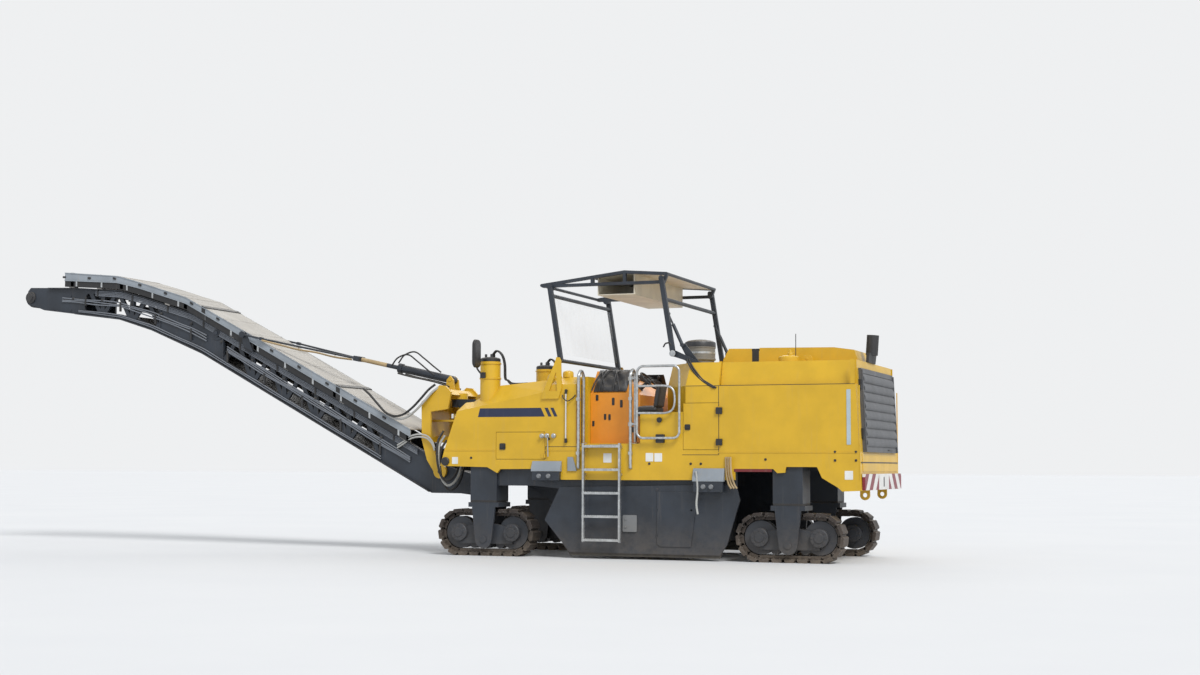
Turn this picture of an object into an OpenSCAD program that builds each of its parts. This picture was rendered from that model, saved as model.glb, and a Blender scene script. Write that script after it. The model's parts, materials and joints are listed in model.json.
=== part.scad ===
// Cold planer milling machine on four steered tracks, with a front discharge conveyor.
// +X points forward along the conveyor, +Y to the machine's left, +Z up, ground at Z = 0.

/* [Tracks and legs] */
// Distance between the front and the rear track centres
wheelbase = 4030; // [3950:10:4150]
// Distance between the left and the right track centres
track_gauge = 1856; // [1840:2:1872]
// Length of one track over its shoes
track_l = 1340; // [1260:10:1360]
// Height of one track over its shoes
track_h = 600; // [560:5:600]
// Width of the track shoes
shoe_w = 260; // [230:5:270]
// Number of shoes on one track
shoe_count = 21; // [18:1:24]
// Height of a shoe above the chain that carries it
shoe_t = 55; // [35:5:70]
// Thickness of the chain under the shoes
chain_t = 40; // [30:5:50]
// Height of the pin that a track frame hangs on
track_pin_z = 215; // [190:5:240]
// Diameter of the pin that a track frame hangs on
track_pin_d = 90; // [70:5:100]
// Underside of the fork crown
crown_z = 628; // [624:2:640]
// Thickness of the fork crown
crown_t = 60; // [40:5:62]
// Thickness of a fork cheek
fork_t = 35; // [25:5:40]
// Diameter of the inner leg tube
inner_leg_d = 280; // [220:10:300]
// Outer width of the square leg column
column_w = 370; // [350:5:372]
// Lower end of the leg columns
column_z = 714; // [710:2:730]
// Upper end of the square leg columns
column_top_z = 1640; // [1600:10:1680]
// Diameter of the lifting cylinders that stand out of the front deck
lift_cyl_d = 265; // [240:5:290]
// Top of the lifting cylinders
lift_cyl_z = 2512; // [2450:10:2560]

/* [Body] */
// Width over the side panels
body_w = 2294; // [2290:2:2330]
// Thickness of a side panel
panel_t = 36; // [24:2:40]
// Lower edge of the side panels between the tracks
sill_z = 985; // [960:5:1000]
// Height of the crease that runs along the side panels
crease_z = 1356; // [1330:2:1380]
// Top of the lower side panels at the engine
belt_z = 2148; // [2130:2:2170]
// Top of the engine hood
hood_z = 2443; // [2400:5:2480]
// Top of the hump on the hood
hump_z = 2648; // [2600:5:2700]
// Foremost point of the nose at its lower corner
nose_x = 2625; // [2600:5:2640]
// Rear face of the body at its lower edge
tail_x = -2924; // [-2940:2:-2915]
// Operator platform floor
floor_z = 1440; // [1420:5:1460]
// Thickness of the platform floor
floor_t = 40; // [30:5:60]
// Front edge of the entrance above the ladder
entry_front_x = 643; // [620:5:660]
// Rear edge of the entrance above the ladder
entry_rear_x = -138; // [-150:2:-120]
// Front end of the engine cowl on the body side
cowl_x = -733; // [-760:2:-715]
// Seam between the cowl and the hood
seam_x = -1160; // [-1180:5:-1150]

/* [Milling drum] */
// Diameter over the picks
drum_d = 960; // [900:10:980]
// Milling width
drum_w = 1300; // [1200:10:1300]
// Height of the drum axis, with the picks clear of the ground
drum_z = 585; // [575:5:600]
// Place of the drum axis along the machine
drum_x = -150; // [-180:5:-120]
// Right end of the drum
drum_right_y = -960; // [-970:5:-940]
// Diameter of the bare drum shell
shell_d = 760; // [700:10:780]

/* [Discharge conveyor] */
// Slewing axis of the conveyor mast
slew_x = 2900; // [2880:5:2920]
// Lifting pivot of the conveyor along the machine
lift_x = 2980; // [2970:5:2990]
// Height of the lifting pivot
lift_z = 1080; // [1070:5:1090]
// Centre of the head drum along the machine
head_x = 9885; // [9840:5:9950]
// Centre height of the head drum
head_z = 3662; // [3640:2:3680]
// Radius of the conveyor drums
belt_r = 128; // [110:2:140]
// Thickness of the belt
belt_t = 14; // [10:1:18]
// Width of the belt
belt_w = 600; // [500:10:640]
// Width over the conveyor's side frames
conveyor_w = 760; // [720:10:770]
// Thickness of the conveyor's side frames
frame_t = 40; // [24:2:44]
// Inside distance between the mast cheeks
mast_gap = 800; // [790:5:820]
// Thickness of a mast cheek
cheek_t = 40; // [30:5:44]

/* [Canopy] */
// Distance from a canopy post's lower pivot to its upper one, along the machine
post_dx = 155; // [140:5:170]
// Height of a canopy post between its pivots
post_dz = 955; // [930:5:980]
// Distance between the left and right canopy posts, centre to centre
post_gauge = 2120; // [2114:2:2124]
// Width of a canopy post
post_w = 50; // [40:2:52]
// Outer width of the roof frame
roof_w = 2050; // [2030:2:2056]

/* [Hidden] */
fit = 0.3;
gap = 5;
fine = 64;
half_body = body_w / 2;
half_gauge = track_gauge / 2;
half_wheelbase = wheelbase / 2;
belt_outer_r = belt_r + belt_t;
x_tip = head_x + belt_outer_r;
rear_panel_t = 36;
x_rear = tail_x - rear_panel_t;
// Middle of the machine's length, which becomes X = 0
x_mid = (x_tip + x_rear) / 2;

// Shifts the machine so that the middle of its length is at X = 0
module machine() translate([-x_mid, 0, 0]) children();
// A piece and its mirror image across the machine's centre plane
module both_sides() {
    children();
    mirror([0, 1, 0]) children();
}
// A box between two corners
module block(low, high) translate(low) cube(high - low);
// An outline in X and Z, given thickness from y0 to y1
module slab(points, y0, y1) translate([0, y1, 0]) rotate([90, 0, 0]) linear_extrude(y1 - y0) polygon(points);
// Children drawn in X and Z, given thickness from y0 to y1
module across(y0, y1) translate([0, y1, 0]) rotate([90, 0, 0]) linear_extrude(y1 - y0) children();
// A round bar between two points
module bar(a, b, d) {
    v = b - a;
    translate(a) rotate([0, acos(v.z / norm(v)), atan2(v.y, v.x)]) cylinder(h = norm(v), d = d, $fn = fine);
}
// A tube bent along points, with round elbows
module tube(points, d) {
    for (i = [0 : len(points) - 2]) bar(points[i], points[i + 1], d);
    for (p = points) translate(p) sphere(d = d + 1, $fn = 32);
}
// A disc or pin across the machine at [x, z], from y0 to y1
module disc(c, r, y0, y1) translate([c.x, y1, c.y]) rotate([90, 0, 0]) cylinder(h = y1 - y0, r = r, $fn = fine);
// A flat bar in a plane between two points
module strip(a, b, w) {
    v = b - a;
    n = [-v.y, v.x] / norm(v) * w / 2;
    polygon([a - n, b - n, b + n, a + n]);
}
// A chain of flat bars through points, with round joints
module chain(points, w) {
    for (i = [0 : len(points) - 2]) strip(points[i], points[i + 1], w);
    for (p = points) translate(p) circle(d = w, $fn = 32);
}
// A closed body through cross-sections of equal point count, wound anticlockwise seen from the last one
module loft(sections) {
    n = len(sections[0]);
    m = len(sections);
    polyhedron(
        points = [for (s = sections) each s],
        faces = concat(
            [[for (i = [0 : n - 1]) i]],
            [[for (i = [n - 1 : -1 : 0]) (m - 1) * n + i]],
            [for (j = [0 : m - 2], i = [0 : n - 1]) let (k = (i + 1) % n) each [
                [(j + 1) * n + k, j * n + k, j * n + i],
                [(j + 1) * n + i, (j + 1) * n + k, j * n + i]
            ]]
        ),
        convexity = 6
    );
}
// Height on a line through two points
function line_z(a, b, x) = a.y + (b.y - a.y) * (x - a.x) / (b.x - a.x);
// Point between two others
function between(a, b, t) = a + (b - a) * t;
// Points of an arc
function arc(c, r, a0, a1, n) = [for (i = [0 : n]) c + r * [cos(a0 + (a1 - a0) * i / n), sin(a0 + (a1 - a0) * i / n)]];

// Place of a leg, front or rear and left or right
module at_leg(front, left) translate([front * half_wheelbase, left * half_gauge, 0]) children();

// Track: a closed loop whose outline holds the shoes
track_r = track_h / 2;
track_flat = track_l - track_h;
loop_inner_r = track_r - shoe_t - chain_t;
loop_l = 2 * track_flat + 2 * PI * track_r;
// Point on the loop at a distance along it and a depth under the shoe face
function loop_point(s, depth) = let (u = s % loop_l, r = track_r - depth, a = 180 / PI / track_r)
    u < track_flat / 2 ? [u, -r] :
    u < track_flat / 2 + PI * track_r ? [track_flat / 2, 0] + r * [sin((u - track_flat / 2) * a), -cos((u - track_flat / 2) * a)] :
    u < track_flat * 1.5 + PI * track_r ? [track_flat + PI * track_r - u, r] :
    u < track_flat * 1.5 + 2 * PI * track_r ?
        [-track_flat / 2, 0] + r * [-sin((u - track_flat * 1.5 - PI * track_r) * a), cos((u - track_flat * 1.5 - PI * track_r) * a)] :
    [u - loop_l, -r];
shoe_pitch = loop_l / shoe_count;
shoe_share = 0.78;
module track_loop() translate([0, 0, track_r]) across(-shoe_w / 2, shoe_w / 2) difference() {
    polygon([for (i = [0 : shoe_count - 1]) let (s = loop_l + i * shoe_pitch, h = shoe_share * shoe_pitch / 2)
        each [loop_point(s - h - 8, shoe_t), loop_point(s - h, 0), loop_point(s + h, 0), loop_point(s + h + 8, shoe_t)]]);
    polygon(concat(arc([track_flat / 2, 0], loop_inner_r, -90, 90, 36), arc([-track_flat / 2, 0], loop_inner_r, 90, 270, 36)));
}

// Track frame with its sprocket, idler and rollers in place
wheel_r = loop_inner_r - fit;
wheel_w = 120;
roller_r = 62;
roller_count = 3;
frame_plate_w = 190;
pin_clear = 0.5;
hub_r = track_pin_d / 2 + 40;
fork_inner = shoe_w / 2 + 22;
module track_frame() difference() {
    union() {
        for (s = [-1, 1]) disc([s * track_flat / 2, track_r], wheel_r, -wheel_w / 2, wheel_w / 2);
        for (s = [-1, 1]) disc([s * track_flat / 2, track_r], wheel_r * 0.55, -shoe_w / 2 - 4, shoe_w / 2 + 4);
        for (i = [0 : roller_count - 1])
            disc([(i - (roller_count - 1) / 2) * track_flat / (roller_count + 1), track_r - loop_inner_r + fit + roller_r], roller_r, -wheel_w / 2, wheel_w / 2);
        across(-frame_plate_w / 2, frame_plate_w / 2)
            polygon([[-track_flat / 2, track_pin_z - 60], [track_flat / 2, track_pin_z - 60], [track_flat / 2, track_r + 60],
                [120, track_r + 110], [-120, track_r + 110], [-track_flat / 2, track_r + 60]]);
        disc([0, track_pin_z], hub_r, -fork_inner + fit, fork_inner - fit);
    }
    disc([0, track_pin_z], track_pin_d / 2 + pin_clear, -fork_inner, fork_inner);
}

// Fork with its crown, inner leg tube and track pin
fork_half_l = 213;
inner_leg_top = column_top_z - 140;
bore_clear = 1;
fork_foot_r = hub_r + 30;
fork_cheek_half = 160;
module fork() {
    both_sides() across(fork_inner, fork_inner + fork_t) union() {
        polygon([[-fork_cheek_half, crown_z + crown_t], [fork_cheek_half, crown_z + crown_t], [fork_cheek_half, crown_z - 20],
            [fork_foot_r, track_pin_z], [-fork_foot_r, track_pin_z], [-fork_cheek_half, crown_z - 20]]);
        translate([0, track_pin_z]) circle(r = fork_foot_r, $fn = fine);
    }
    block([-fork_half_l, -fork_inner - fork_t, crown_z], [fork_half_l, fork_inner + fork_t, crown_z + crown_t]);
    translate([0, 0, crown_z]) cylinder(h = inner_leg_top - crown_z, d = inner_leg_d, $fn = fine);
    disc([0, track_pin_z], track_pin_d / 2, -fork_inner - fork_t - 12, fork_inner + fork_t + 12);
}

// Square column around the inner leg tube
module column() difference() {
    block([-column_w / 2, -column_w / 2, column_z], [column_w / 2, column_w / 2, column_top_z]);
    translate([0, 0, column_z - 1]) cylinder(h = inner_leg_top + 20 - column_z, d = inner_leg_d + 2 * bore_clear, $fn = fine);
}
module leg_columns() color([0.16, 0.18, 0.22]) machine() for (f = [-1, 1], s = [-1, 1]) at_leg(f, s) column();

// Lifting cylinders that stand on the front columns
cap_d = lift_cyl_d * 0.72;
cap_t = 36;
module lift_cylinders() color([0.85, 0.64, 0.12]) machine() for (s = [-1, 1]) at_leg(1, s) {
    translate([0, 0, column_top_z + fit]) cylinder(h = lift_cyl_z - column_top_z - fit, d = lift_cyl_d, $fn = fine);
    translate([0, 0, lift_cyl_z]) cylinder(h = cap_t, d = cap_d, $fn = fine);
}

// Chassis: two main beams, cross beams and the dark aprons under the side panels
beam_low = 1110;
beam_high = 1300;
beam_out = half_gauge - column_w / 2 - fit;
beam_in = beam_out - 250;
beam_front_x = half_wheelbase + column_w / 2 + 40;
tail_block_x = -2450;
apron_out = half_body - panel_t - 34;
apron_t = 35;
apron_low = 870;
apron_high = 1175;
apron_rear_x = -1365;
cross_w = 130;
cross_x = [1260, -1290];
module chassis_frame() color([0.15, 0.17, 0.21]) machine() {
    both_sides() {
        block([tail_block_x + fit, beam_in, beam_low], [beam_front_x, beam_out, beam_high]);
        slab([[apron_rear_x, apron_high], [apron_rear_x, apron_low + 40], [955, apron_low], [1310, 905],
            [half_wheelbase - column_w / 2 - fit, 905], [half_wheelbase - column_w / 2 - fit, apron_high]], apron_out - apron_t, apron_out);
    }
    for (x = cross_x) block([x, -apron_out, beam_low], [x + cross_w, apron_out, apron_high]);
    block([tail_block_x + fit, -beam_out, beam_low], [tail_block_x + cross_w, beam_out, beam_high]);
}

// Primary conveyor that rises through the front body
housing_front = drum_x + 610;
primary_angle = 28.8;
primary_h = 300;
primary_w = 700;
primary_l = 2060;
primary_z = 275;
primary_wall = 20;
primary_x = housing_front + fit + primary_h * sin(primary_angle);
module at_primary() translate([primary_x, 0, primary_z]) rotate([0, -primary_angle, 0]) children();
primary_r = primary_h / 2 - 40;
module primary_conveyor() color([0.13, 0.14, 0.16]) machine() at_primary() {
    both_sides() block([0, primary_w / 2 - primary_wall, 0], [primary_l, primary_w / 2, primary_h]);
    block([0, -primary_w / 2, 0], [primary_l - 200, primary_w / 2, primary_wall]);
    block([0, -primary_w / 2, primary_h - primary_wall], [primary_l - 260, primary_w / 2, primary_h]);
    block([primary_h / 2, -primary_w / 2 + primary_wall, primary_h / 2 - primary_r], [primary_l - 110, primary_w / 2 - primary_wall, primary_h / 2 + primary_r]);
    for (x = [primary_h / 2, primary_l - 110]) disc([x, primary_h / 2], primary_r, -primary_w / 2 + primary_wall, primary_w / 2 - primary_wall);
}

// Front body: side outline, with the roof faces lofted over it
nose_low_z = 1155;
nose_tip = [nose_x - 40, 1290];
nose_crease = [nose_x - 55, crease_z - 5];
nose_top = [nose_x - 236, 1866];
// Place of the slanted nose face at a height
function nose_face_x(z) = nose_crease.x + (z - nose_crease.y) * (nose_top.x - nose_crease.x) / (nose_top.y - nose_crease.y);
roof_inset = 200;
// Columns: place, height at the body side, height at the inner edge of the chamfer
front_roof = [
    [2800, 1780, 1935], [nose_top.x, 1862, 1980], [2240, 1890, 1990], [2142, 1908, 2050], [1850, 1962, 2200],
    [1765, 1978, 2206], [1135, 2100, 2265], [1040, 2192, 2290], [entry_front_x - 10, 2192, 2298]
];
storage_x = 1150;
storage_l = 675;
storage_z = 1245;
storage_h = 342;
storage_depth = 260;
tail_sweep_half = 700;
tail_sweep_z = 1400;
front_side = [
    [entry_front_x, sill_z], [920, sill_z], [1310, 1120], [1770, 1115], [1810, 1065], [1950, 1140], [nose_x, nose_low_z],
    nose_tip, nose_crease, nose_top, [nose_top.x - 60, 2045], [nose_top.x - 60, 2400], [entry_front_x, 2400]
];
// Lifting eyes on the front deck
lift_eye = [2290, 2035];
lift_eye_y = 600;
lift_eye_r = 35;
lift_eye_t = 30;
module front_body() color([0.85, 0.64, 0.12]) machine() difference() {
    union() {
    both_sides() across(lift_eye_y, lift_eye_y + lift_eye_t) union() {
        translate(lift_eye) circle(r = lift_eye_r + 35, $fn = fine);
        translate(lift_eye - [70, 110]) square([140, 110]);
    }
    intersection() {
        slab(front_side, -half_body, half_body);
        loft([for (s = front_roof) [
            [s.x, -half_body - 1, 900], [s.x, -half_body - 1, s.y], [s.x, -half_body + roof_inset, s.z],
            [s.x, half_body - roof_inset, s.z], [s.x, half_body + 1, s.y], [s.x, half_body + 1, 900]
        ]]);
    }
    }
    both_sides() disc(lift_eye, lift_eye_r, lift_eye_y - 1, lift_eye_y + lift_eye_t + 1);
    block([entry_front_x - 1, -beam_out - fit, 900], [beam_front_x + fit, beam_out + fit, beam_high + fit]);
    block([entry_front_x - 1, -half_body + panel_t, 900], [beam_front_x + fit, half_body - panel_t, apron_high + fit]);
    block([beam_front_x - 1, -tail_sweep_half, 900], [nose_x + 100, tail_sweep_half, tail_sweep_z]);
    at_primary() block([-400, -primary_w / 2 - 30, -400], [primary_l + 600, primary_w / 2 + 30, primary_h + 30]);
    for (s = [-1, 1]) at_leg(1, s) {
        block([-column_w / 2 - fit, -column_w / 2 - fit, 900], [column_w / 2 + fit, column_w / 2 + fit, column_top_z + fit]);
        cylinder(h = 2600, d = lift_cyl_d + 2 * fit, $fn = fine);
    }
    both_sides() block([entry_front_x - 1, half_body - rail_in - 60, floor_z], [rail_x[0] + rail_d, half_body + 1, 2400]);
    both_sides() block([storage_x - gap, half_body - storage_depth, storage_z - gap], [storage_x + storage_l + gap, half_body + 1, storage_z + storage_h + gap]);
}

// Doors hang on vertical hinges at their rear edge
door_t = 30;
hinge_r = 11;
hinge_out = 12;
module side_door(x, l, z, h) {
    block([x, half_body - door_t, z], [x + l, half_body, z + h]);
    for (t = [0.12, 0.88]) {
        translate([x - gap, half_body + hinge_out, z + t * h - 25]) cylinder(h = 50, r = hinge_r, $fn = fine);
        block([x - gap, half_body, z + t * h - 25], [x + 45, half_body + 8, z + t * h + 25]);
    }
}
module storage_door() side_door(storage_x, storage_l, storage_z, storage_h);
module storage_door_left() color([0.85, 0.64, 0.12]) machine() storage_door();
module storage_door_right() color([0.85, 0.64, 0.12]) machine() mirror([0, 1, 0]) storage_door();

// Platform: the floor, the sills under the entrances and the feet on the main beams
module platform_floor() color([0.85, 0.60, 0.12]) machine() {
    difference() {
        block([cowl_x + 150, -half_body + panel_t + fit, floor_z - floor_t], [entry_front_x - fit, half_body - panel_t - fit, floor_z]);
        translate([0, 0, floor_z - floor_t - 1]) linear_extrude(floor_t + 2) polygon(cowl_plan(-2 * fit));
    }
    both_sides() {
        block([entry_rear_x + fit, half_body - panel_t - fit, sill_z], [entry_front_x - fit, half_body, floor_z]);
        for (x = [-420, 300]) block([x, beam_in, beam_high + fit], [x + 160, beam_out, floor_z - floor_t]);
    }
}

// Rear body: side walls, cowl in front of the hood, tail block and rear frame
rear_top_x = tail_x + 62;
tail_low_z = 875;
// Place of the leaning rear face at a height
function tail_face_x(z) = tail_x + (rear_top_x - tail_x) * (z - tail_low_z) / (belt_z - tail_low_z);
mid_panel_z = 1830;
// Towing eyes under the tail
tow_x = -2830;
tow_y = 500;
tow_z = 815;
tow_r = 27.5;
tow_t = 30;
hood_pin_r = 10;
hood_hinge = [-985, 2470];
service_x = -1160;
service_l = 455;
service_z = 1365;
service_h = 570;
rear_side = [
    [entry_rear_x, sill_z], [apron_rear_x, sill_z + 10], [apron_rear_x, 1130], [-1845, 1130], [-1895, 1080], [-1990, 1085],
    [-2005, 1155], [-2385, 1155], [-2445, 1025], [-2640, 910], [-2690, 865], [tail_x, tail_low_z], [rear_top_x, belt_z],
    [cowl_x, belt_z], [cowl_x, mid_panel_z], [entry_rear_x, mid_panel_z]
];
cowl_top_inset = 110;
cowl_front_x = -330;
cowl_front_y = 640;
// Plan outline of the cowl, drawn in by a distance
function cowl_plan(d) = [
    [seam_x + fit, -half_body + d], [cowl_x - d / 3, -half_body + d], [cowl_front_x - d / 2, -cowl_front_y + d / 2],
    [cowl_front_x - d / 2, cowl_front_y - d / 2], [cowl_x - d / 3, half_body - d], [seam_x + fit, half_body - d]
];
grille_half = 930;
grille_low = 1395;
grille_high = 2330;
module rear_body() color([0.85, 0.64, 0.12]) machine() difference() {
    union() {
        both_sides() slab(rear_side, half_body - panel_t, half_body);
        slab([[tail_block_x, 1300], [tail_block_x, 1028], [-2640, 912], [-2690, 867], [tail_x, tail_low_z + 2], [tail_face_x(1300), 1300]], -half_body + 1, half_body - 1);
        slab([[tail_face_x(1200), 1200], [tail_face_x(hood_z), hood_z], [-2825, hood_z], [-2825, 1200]], -half_body + 110, half_body - 110);
        slab([[tail_face_x(1200), 1200], [rear_top_x, belt_z], [-2825, belt_z], [-2825, 1200]], -half_body + 1, half_body - 1);
        both_sides() {
            across(tow_y, tow_y + tow_t) union() {
                translate([tow_x, tow_z]) circle(r = tow_r + 34, $fn = fine);
                translate([tow_x - 60, tow_z]) square([120, 100]);
            }
            for (y = [355, 465]) block([hood_hinge.x - 20, y, hood_z - 20], [hood_hinge.x + 20, y + 20, hood_hinge.y + 20]);
            disc(hood_hinge, hood_pin_r, 356, 484);
        }
        translate([0, 0, floor_z - floor_t]) linear_extrude(belt_z - floor_z + floor_t) polygon(cowl_plan(0));
        loft([
            [for (p = cowl_plan(0)) [p.x, p.y, belt_z]],
            [for (p = cowl_plan(cowl_top_inset)) [p.x, p.y, hood_z]]
        ]);
    }
    both_sides() disc([tow_x, tow_z], tow_r, tow_y - 1, tow_y + tow_t + 1);
    for (s = [-1, 1]) at_leg(-1, s) block([-column_w / 2 - fit, -column_w / 2 - fit, 900], [column_w / 2 + fit, column_w / 2 + fit, column_top_z + fit]);
    block([-3031, -grille_half, grille_low], [-2824, grille_half, grille_high]);
    block([-1400, -1000, 1200], [cowl_x - 60, 1000, hood_z - 60]);
    block([cowl_x - 61, -600, 1300], [cowl_front_x - 60, 600, hood_z - 60]);
    both_sides() block([service_x - gap, half_body - panel_t - 200, service_z - gap], [service_x + service_l + gap, half_body + 1, service_z + service_h + gap]);
}
module service_door() side_door(service_x, service_l, service_z, service_h);
module service_door_left() color([0.85, 0.64, 0.12]) machine() service_door();
module service_door_right() color([0.85, 0.64, 0.12]) machine() mirror([0, 1, 0]) service_door();

// Engine and radiator on the main beams
module engine_block() color([0.25, 0.26, 0.28]) machine() block([-2450, -450, beam_high + fit], [-1300, 450, 2050]);
module radiator_block() color([0.2, 0.21, 0.22]) machine() block([-2790, -880, 1300 + fit], [-2620, 880, 2300]);

// Engine hood with its hump, hinged across its front end
hood_rear_x = -2790;
hood_step = 75;
hood_inset = 150;
hood_wall = 30;
hump_half = 500;
hump_gap_front = -1400;
hump_gap_rear = -1500;
hood_outer = [[half_body - hood_step, belt_z + gap], [half_body - hood_inset, hood_z]];
module hood_section(grow, x0, x1) translate([x0, 0, 0]) rotate([90, 0, 90]) linear_extrude(x1 - x0)
    polygon([[-hood_outer[0].x - grow, hood_outer[0].y], [hood_outer[0].x + grow, hood_outer[0].y],
        [hood_outer[1].x + grow, hood_outer[1].y + grow], [-hood_outer[1].x - grow, hood_outer[1].y + grow]]);
module engine_hood() color([0.85, 0.64, 0.12]) machine() difference() {
    union() {
        hood_section(0, hood_rear_x, seam_x - gap);
        slab([[seam_x - gap, hood_z - 10], [seam_x - gap, hood_z + gap], [-1025, hood_z + gap], [-1025, 2505], [-1100, hump_z - 3], [hump_gap_front, hump_z - 8], [hump_gap_front, hump_z - 40],
            [hump_gap_rear, hump_z - 40], [hump_gap_rear, hump_z], [-2450, hump_z - 13], [-2705, hump_z - 50], [-2760, hood_z - 10]], -hump_half, hump_half);
        both_sides() {
            disc(hood_hinge, 22, 380, 460);
            slab([[hood_hinge.x, hood_hinge.y - 20], [hood_hinge.x, hood_hinge.y + 20], [-1040, hood_hinge.y + 20], [-1040, hood_hinge.y - 20]], 380, 460);
        }
    }
    hood_section(-hood_wall, hood_rear_x - 1, seam_x + 10);
    block([-2700, -hump_half + hood_wall, hood_z - 60], [seam_x - gap, hump_half - hood_wall, hump_z - 100]);
    both_sides() disc(hood_hinge, hood_pin_r + pin_clear, 370, 470);
}

// Rear bumper panel with the warning stripes
module rear_bumper() color([0.8, 0.2, 0.15]) machine() slab([[tail_x - fit, 880], [tail_x - fit, 1075], [x_rear, 1075], [x_rear, 880]], -half_body + 40, half_body - 40);

// Louvred door at the tail, hinged on its left edge along the body's slanted face
grille_t = 34;
slat_count = 8;
grille_door_half = 960;
grille_door_low = 1335;
grille_door_high = 2345;
grille_lean = atan2(rear_top_x - tail_x, belt_z - tail_low_z);
grille_base = [tail_face_x(grille_door_low) - fit, grille_door_low];
grille_h = (grille_door_high - grille_door_low) / cos(grille_lean);
slat_low = 60;
slat_pitch = (grille_h - slat_low - 60) / slat_count;
module rear_grille_door() color([0.24, 0.26, 0.29]) machine() translate([grille_base.x, 0, grille_base.y]) rotate([0, grille_lean, 0]) {
    difference() {
        block([-grille_t, -grille_door_half, 0], [0, grille_door_half, grille_h]);
        block([-grille_t - 1, -grille_door_half + 60, slat_low], [1, grille_door_half - 60, grille_h - 60]);
    }
    for (i = [0 : slat_count - 1]) translate([0, 0, slat_low + i * slat_pitch])
        slab([[-grille_t, 0], [-grille_t + 6, -4], [-2, slat_pitch * 0.62], [-8, slat_pitch * 0.62 + 4]], -grille_door_half + 50, grille_door_half - 50);
    for (y = [-300, 300]) block([-grille_t + 10, y - 20, slat_low - 10], [-4, y + 20, grille_h - 50]);
    for (t = [0.2, 0.8]) translate([-grille_t / 2, grille_door_half, t * grille_h - 40]) {
        translate([0, 14, 0]) cylinder(h = 80, r = 13, $fn = fine);
        block([-8, -1, 0], [8, 14, 80]);
    }
}

// Exhaust outlet beside the hood's rear end
module exhaust_stack() color([0.45, 0.45, 0.46]) machine() {
    slab([[-2832, hood_z + fit], [-2865, hood_z + fit], [-2880, hood_z + 120], [-2840, hood_z + 120]], 0, 420);
    bar([-2862, 210, hood_z + 100], [-2880, 210, hood_z + 350], 150);
}

// Air cleaner on the cowl
cleaner_c = [-710, 470];
cleaner_d = 400;
cleaner_top = 2772;
cleaner_cap = 60;
module air_cleaner() color([0.55, 0.52, 0.45]) machine() translate([cleaner_c.x, cleaner_c.y, 0]) {
    translate([0, 0, hood_z + fit]) cylinder(h = cleaner_cap, d = cleaner_d - 40, $fn = fine);
    translate([0, 0, hood_z + cleaner_cap]) cylinder(h = cleaner_top - hood_z - 2 * cleaner_cap, d = cleaner_d, $fn = fine);
    translate([0, 0, cleaner_top - cleaner_cap]) cylinder(h = cleaner_cap, d1 = cleaner_d, d2 = cleaner_d / 2, $fn = fine);
}

// Control console with its sloping panel and sides, and the two steering wheels on the panel
panel_low = [-30, 2060];
panel_high = [104, 2200];
console_side = [[-30, floor_z + fit], [entry_front_x - 3, floor_z + fit], [entry_front_x - 3, 2380], [526, 2384], panel_high, panel_low];
console_half = 850;
console_top_half = 600;
console_shoulder_z = 2090;
module control_console() color([0.86, 0.50, 0.10]) machine() intersection() {
    slab(console_side, -console_half, console_half);
    translate([-50, 0, 0]) rotate([90, 0, 90]) linear_extrude(entry_front_x + 100) polygon([
        [-console_half, floor_z], [console_half, floor_z], [console_half, console_shoulder_z], [console_top_half, 2400],
        [-console_top_half, 2400], [-console_half, console_shoulder_z]
    ]);
}
wheel_at = between(panel_low, panel_high, 0.6);
wheel_y = 600;
wheel_out = 153;
wheel_rim_r = 150;
wheel_rim_d = 28;
module steering_wheels() color([0.08, 0.08, 0.09]) machine() both_sides()
    translate([wheel_at.x, wheel_y, wheel_at.y]) rotate([0, -heading(panel_low, panel_high), 0]) {
        translate([0, 0, fit]) cylinder(h = wheel_out, d = 50, $fn = fine);
        translate([0, 0, wheel_out]) rotate_extrude($fn = fine) translate([wheel_rim_r - wheel_rim_d / 2, 0]) circle(d = wheel_rim_d, $fn = 24);
        translate([0, 0, wheel_out]) cube([2 * wheel_rim_r - wheel_rim_d, 36, 12], center = true);
    }
module operator_seats() color([0.12, 0.12, 0.13]) machine() both_sides() {
    translate([-200, 900, floor_z + fit]) cylinder(h = 360, r = 60, $fn = fine);
    block([-330, 740, floor_z + 340], [-50, 1070, floor_z + 450]);
    slab([[-330, floor_z + 440], [-265, floor_z + 440], [-330, 2180], [-380, 2180]], 760, 1050);
}

// Handrail hoops on both sides of each entrance
rail_d = 40;
rail_in = 155;
rail_x = [681, -18];
module handrails() color([0.62, 0.64, 0.65]) machine() both_sides() for (x = rail_x)
    tube([[x, half_body + rail_d / 2 + fit, 1165], [x, half_body + rail_d / 2 + fit, 2310], [x, half_body + rail_d / 2 - 40, 2365],
        [x, half_body - rail_in + 45, 2365], [x, half_body - rail_in, 2310], [x, half_body - rail_in, floor_z + fit + rail_d / 2]], rail_d);

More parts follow.
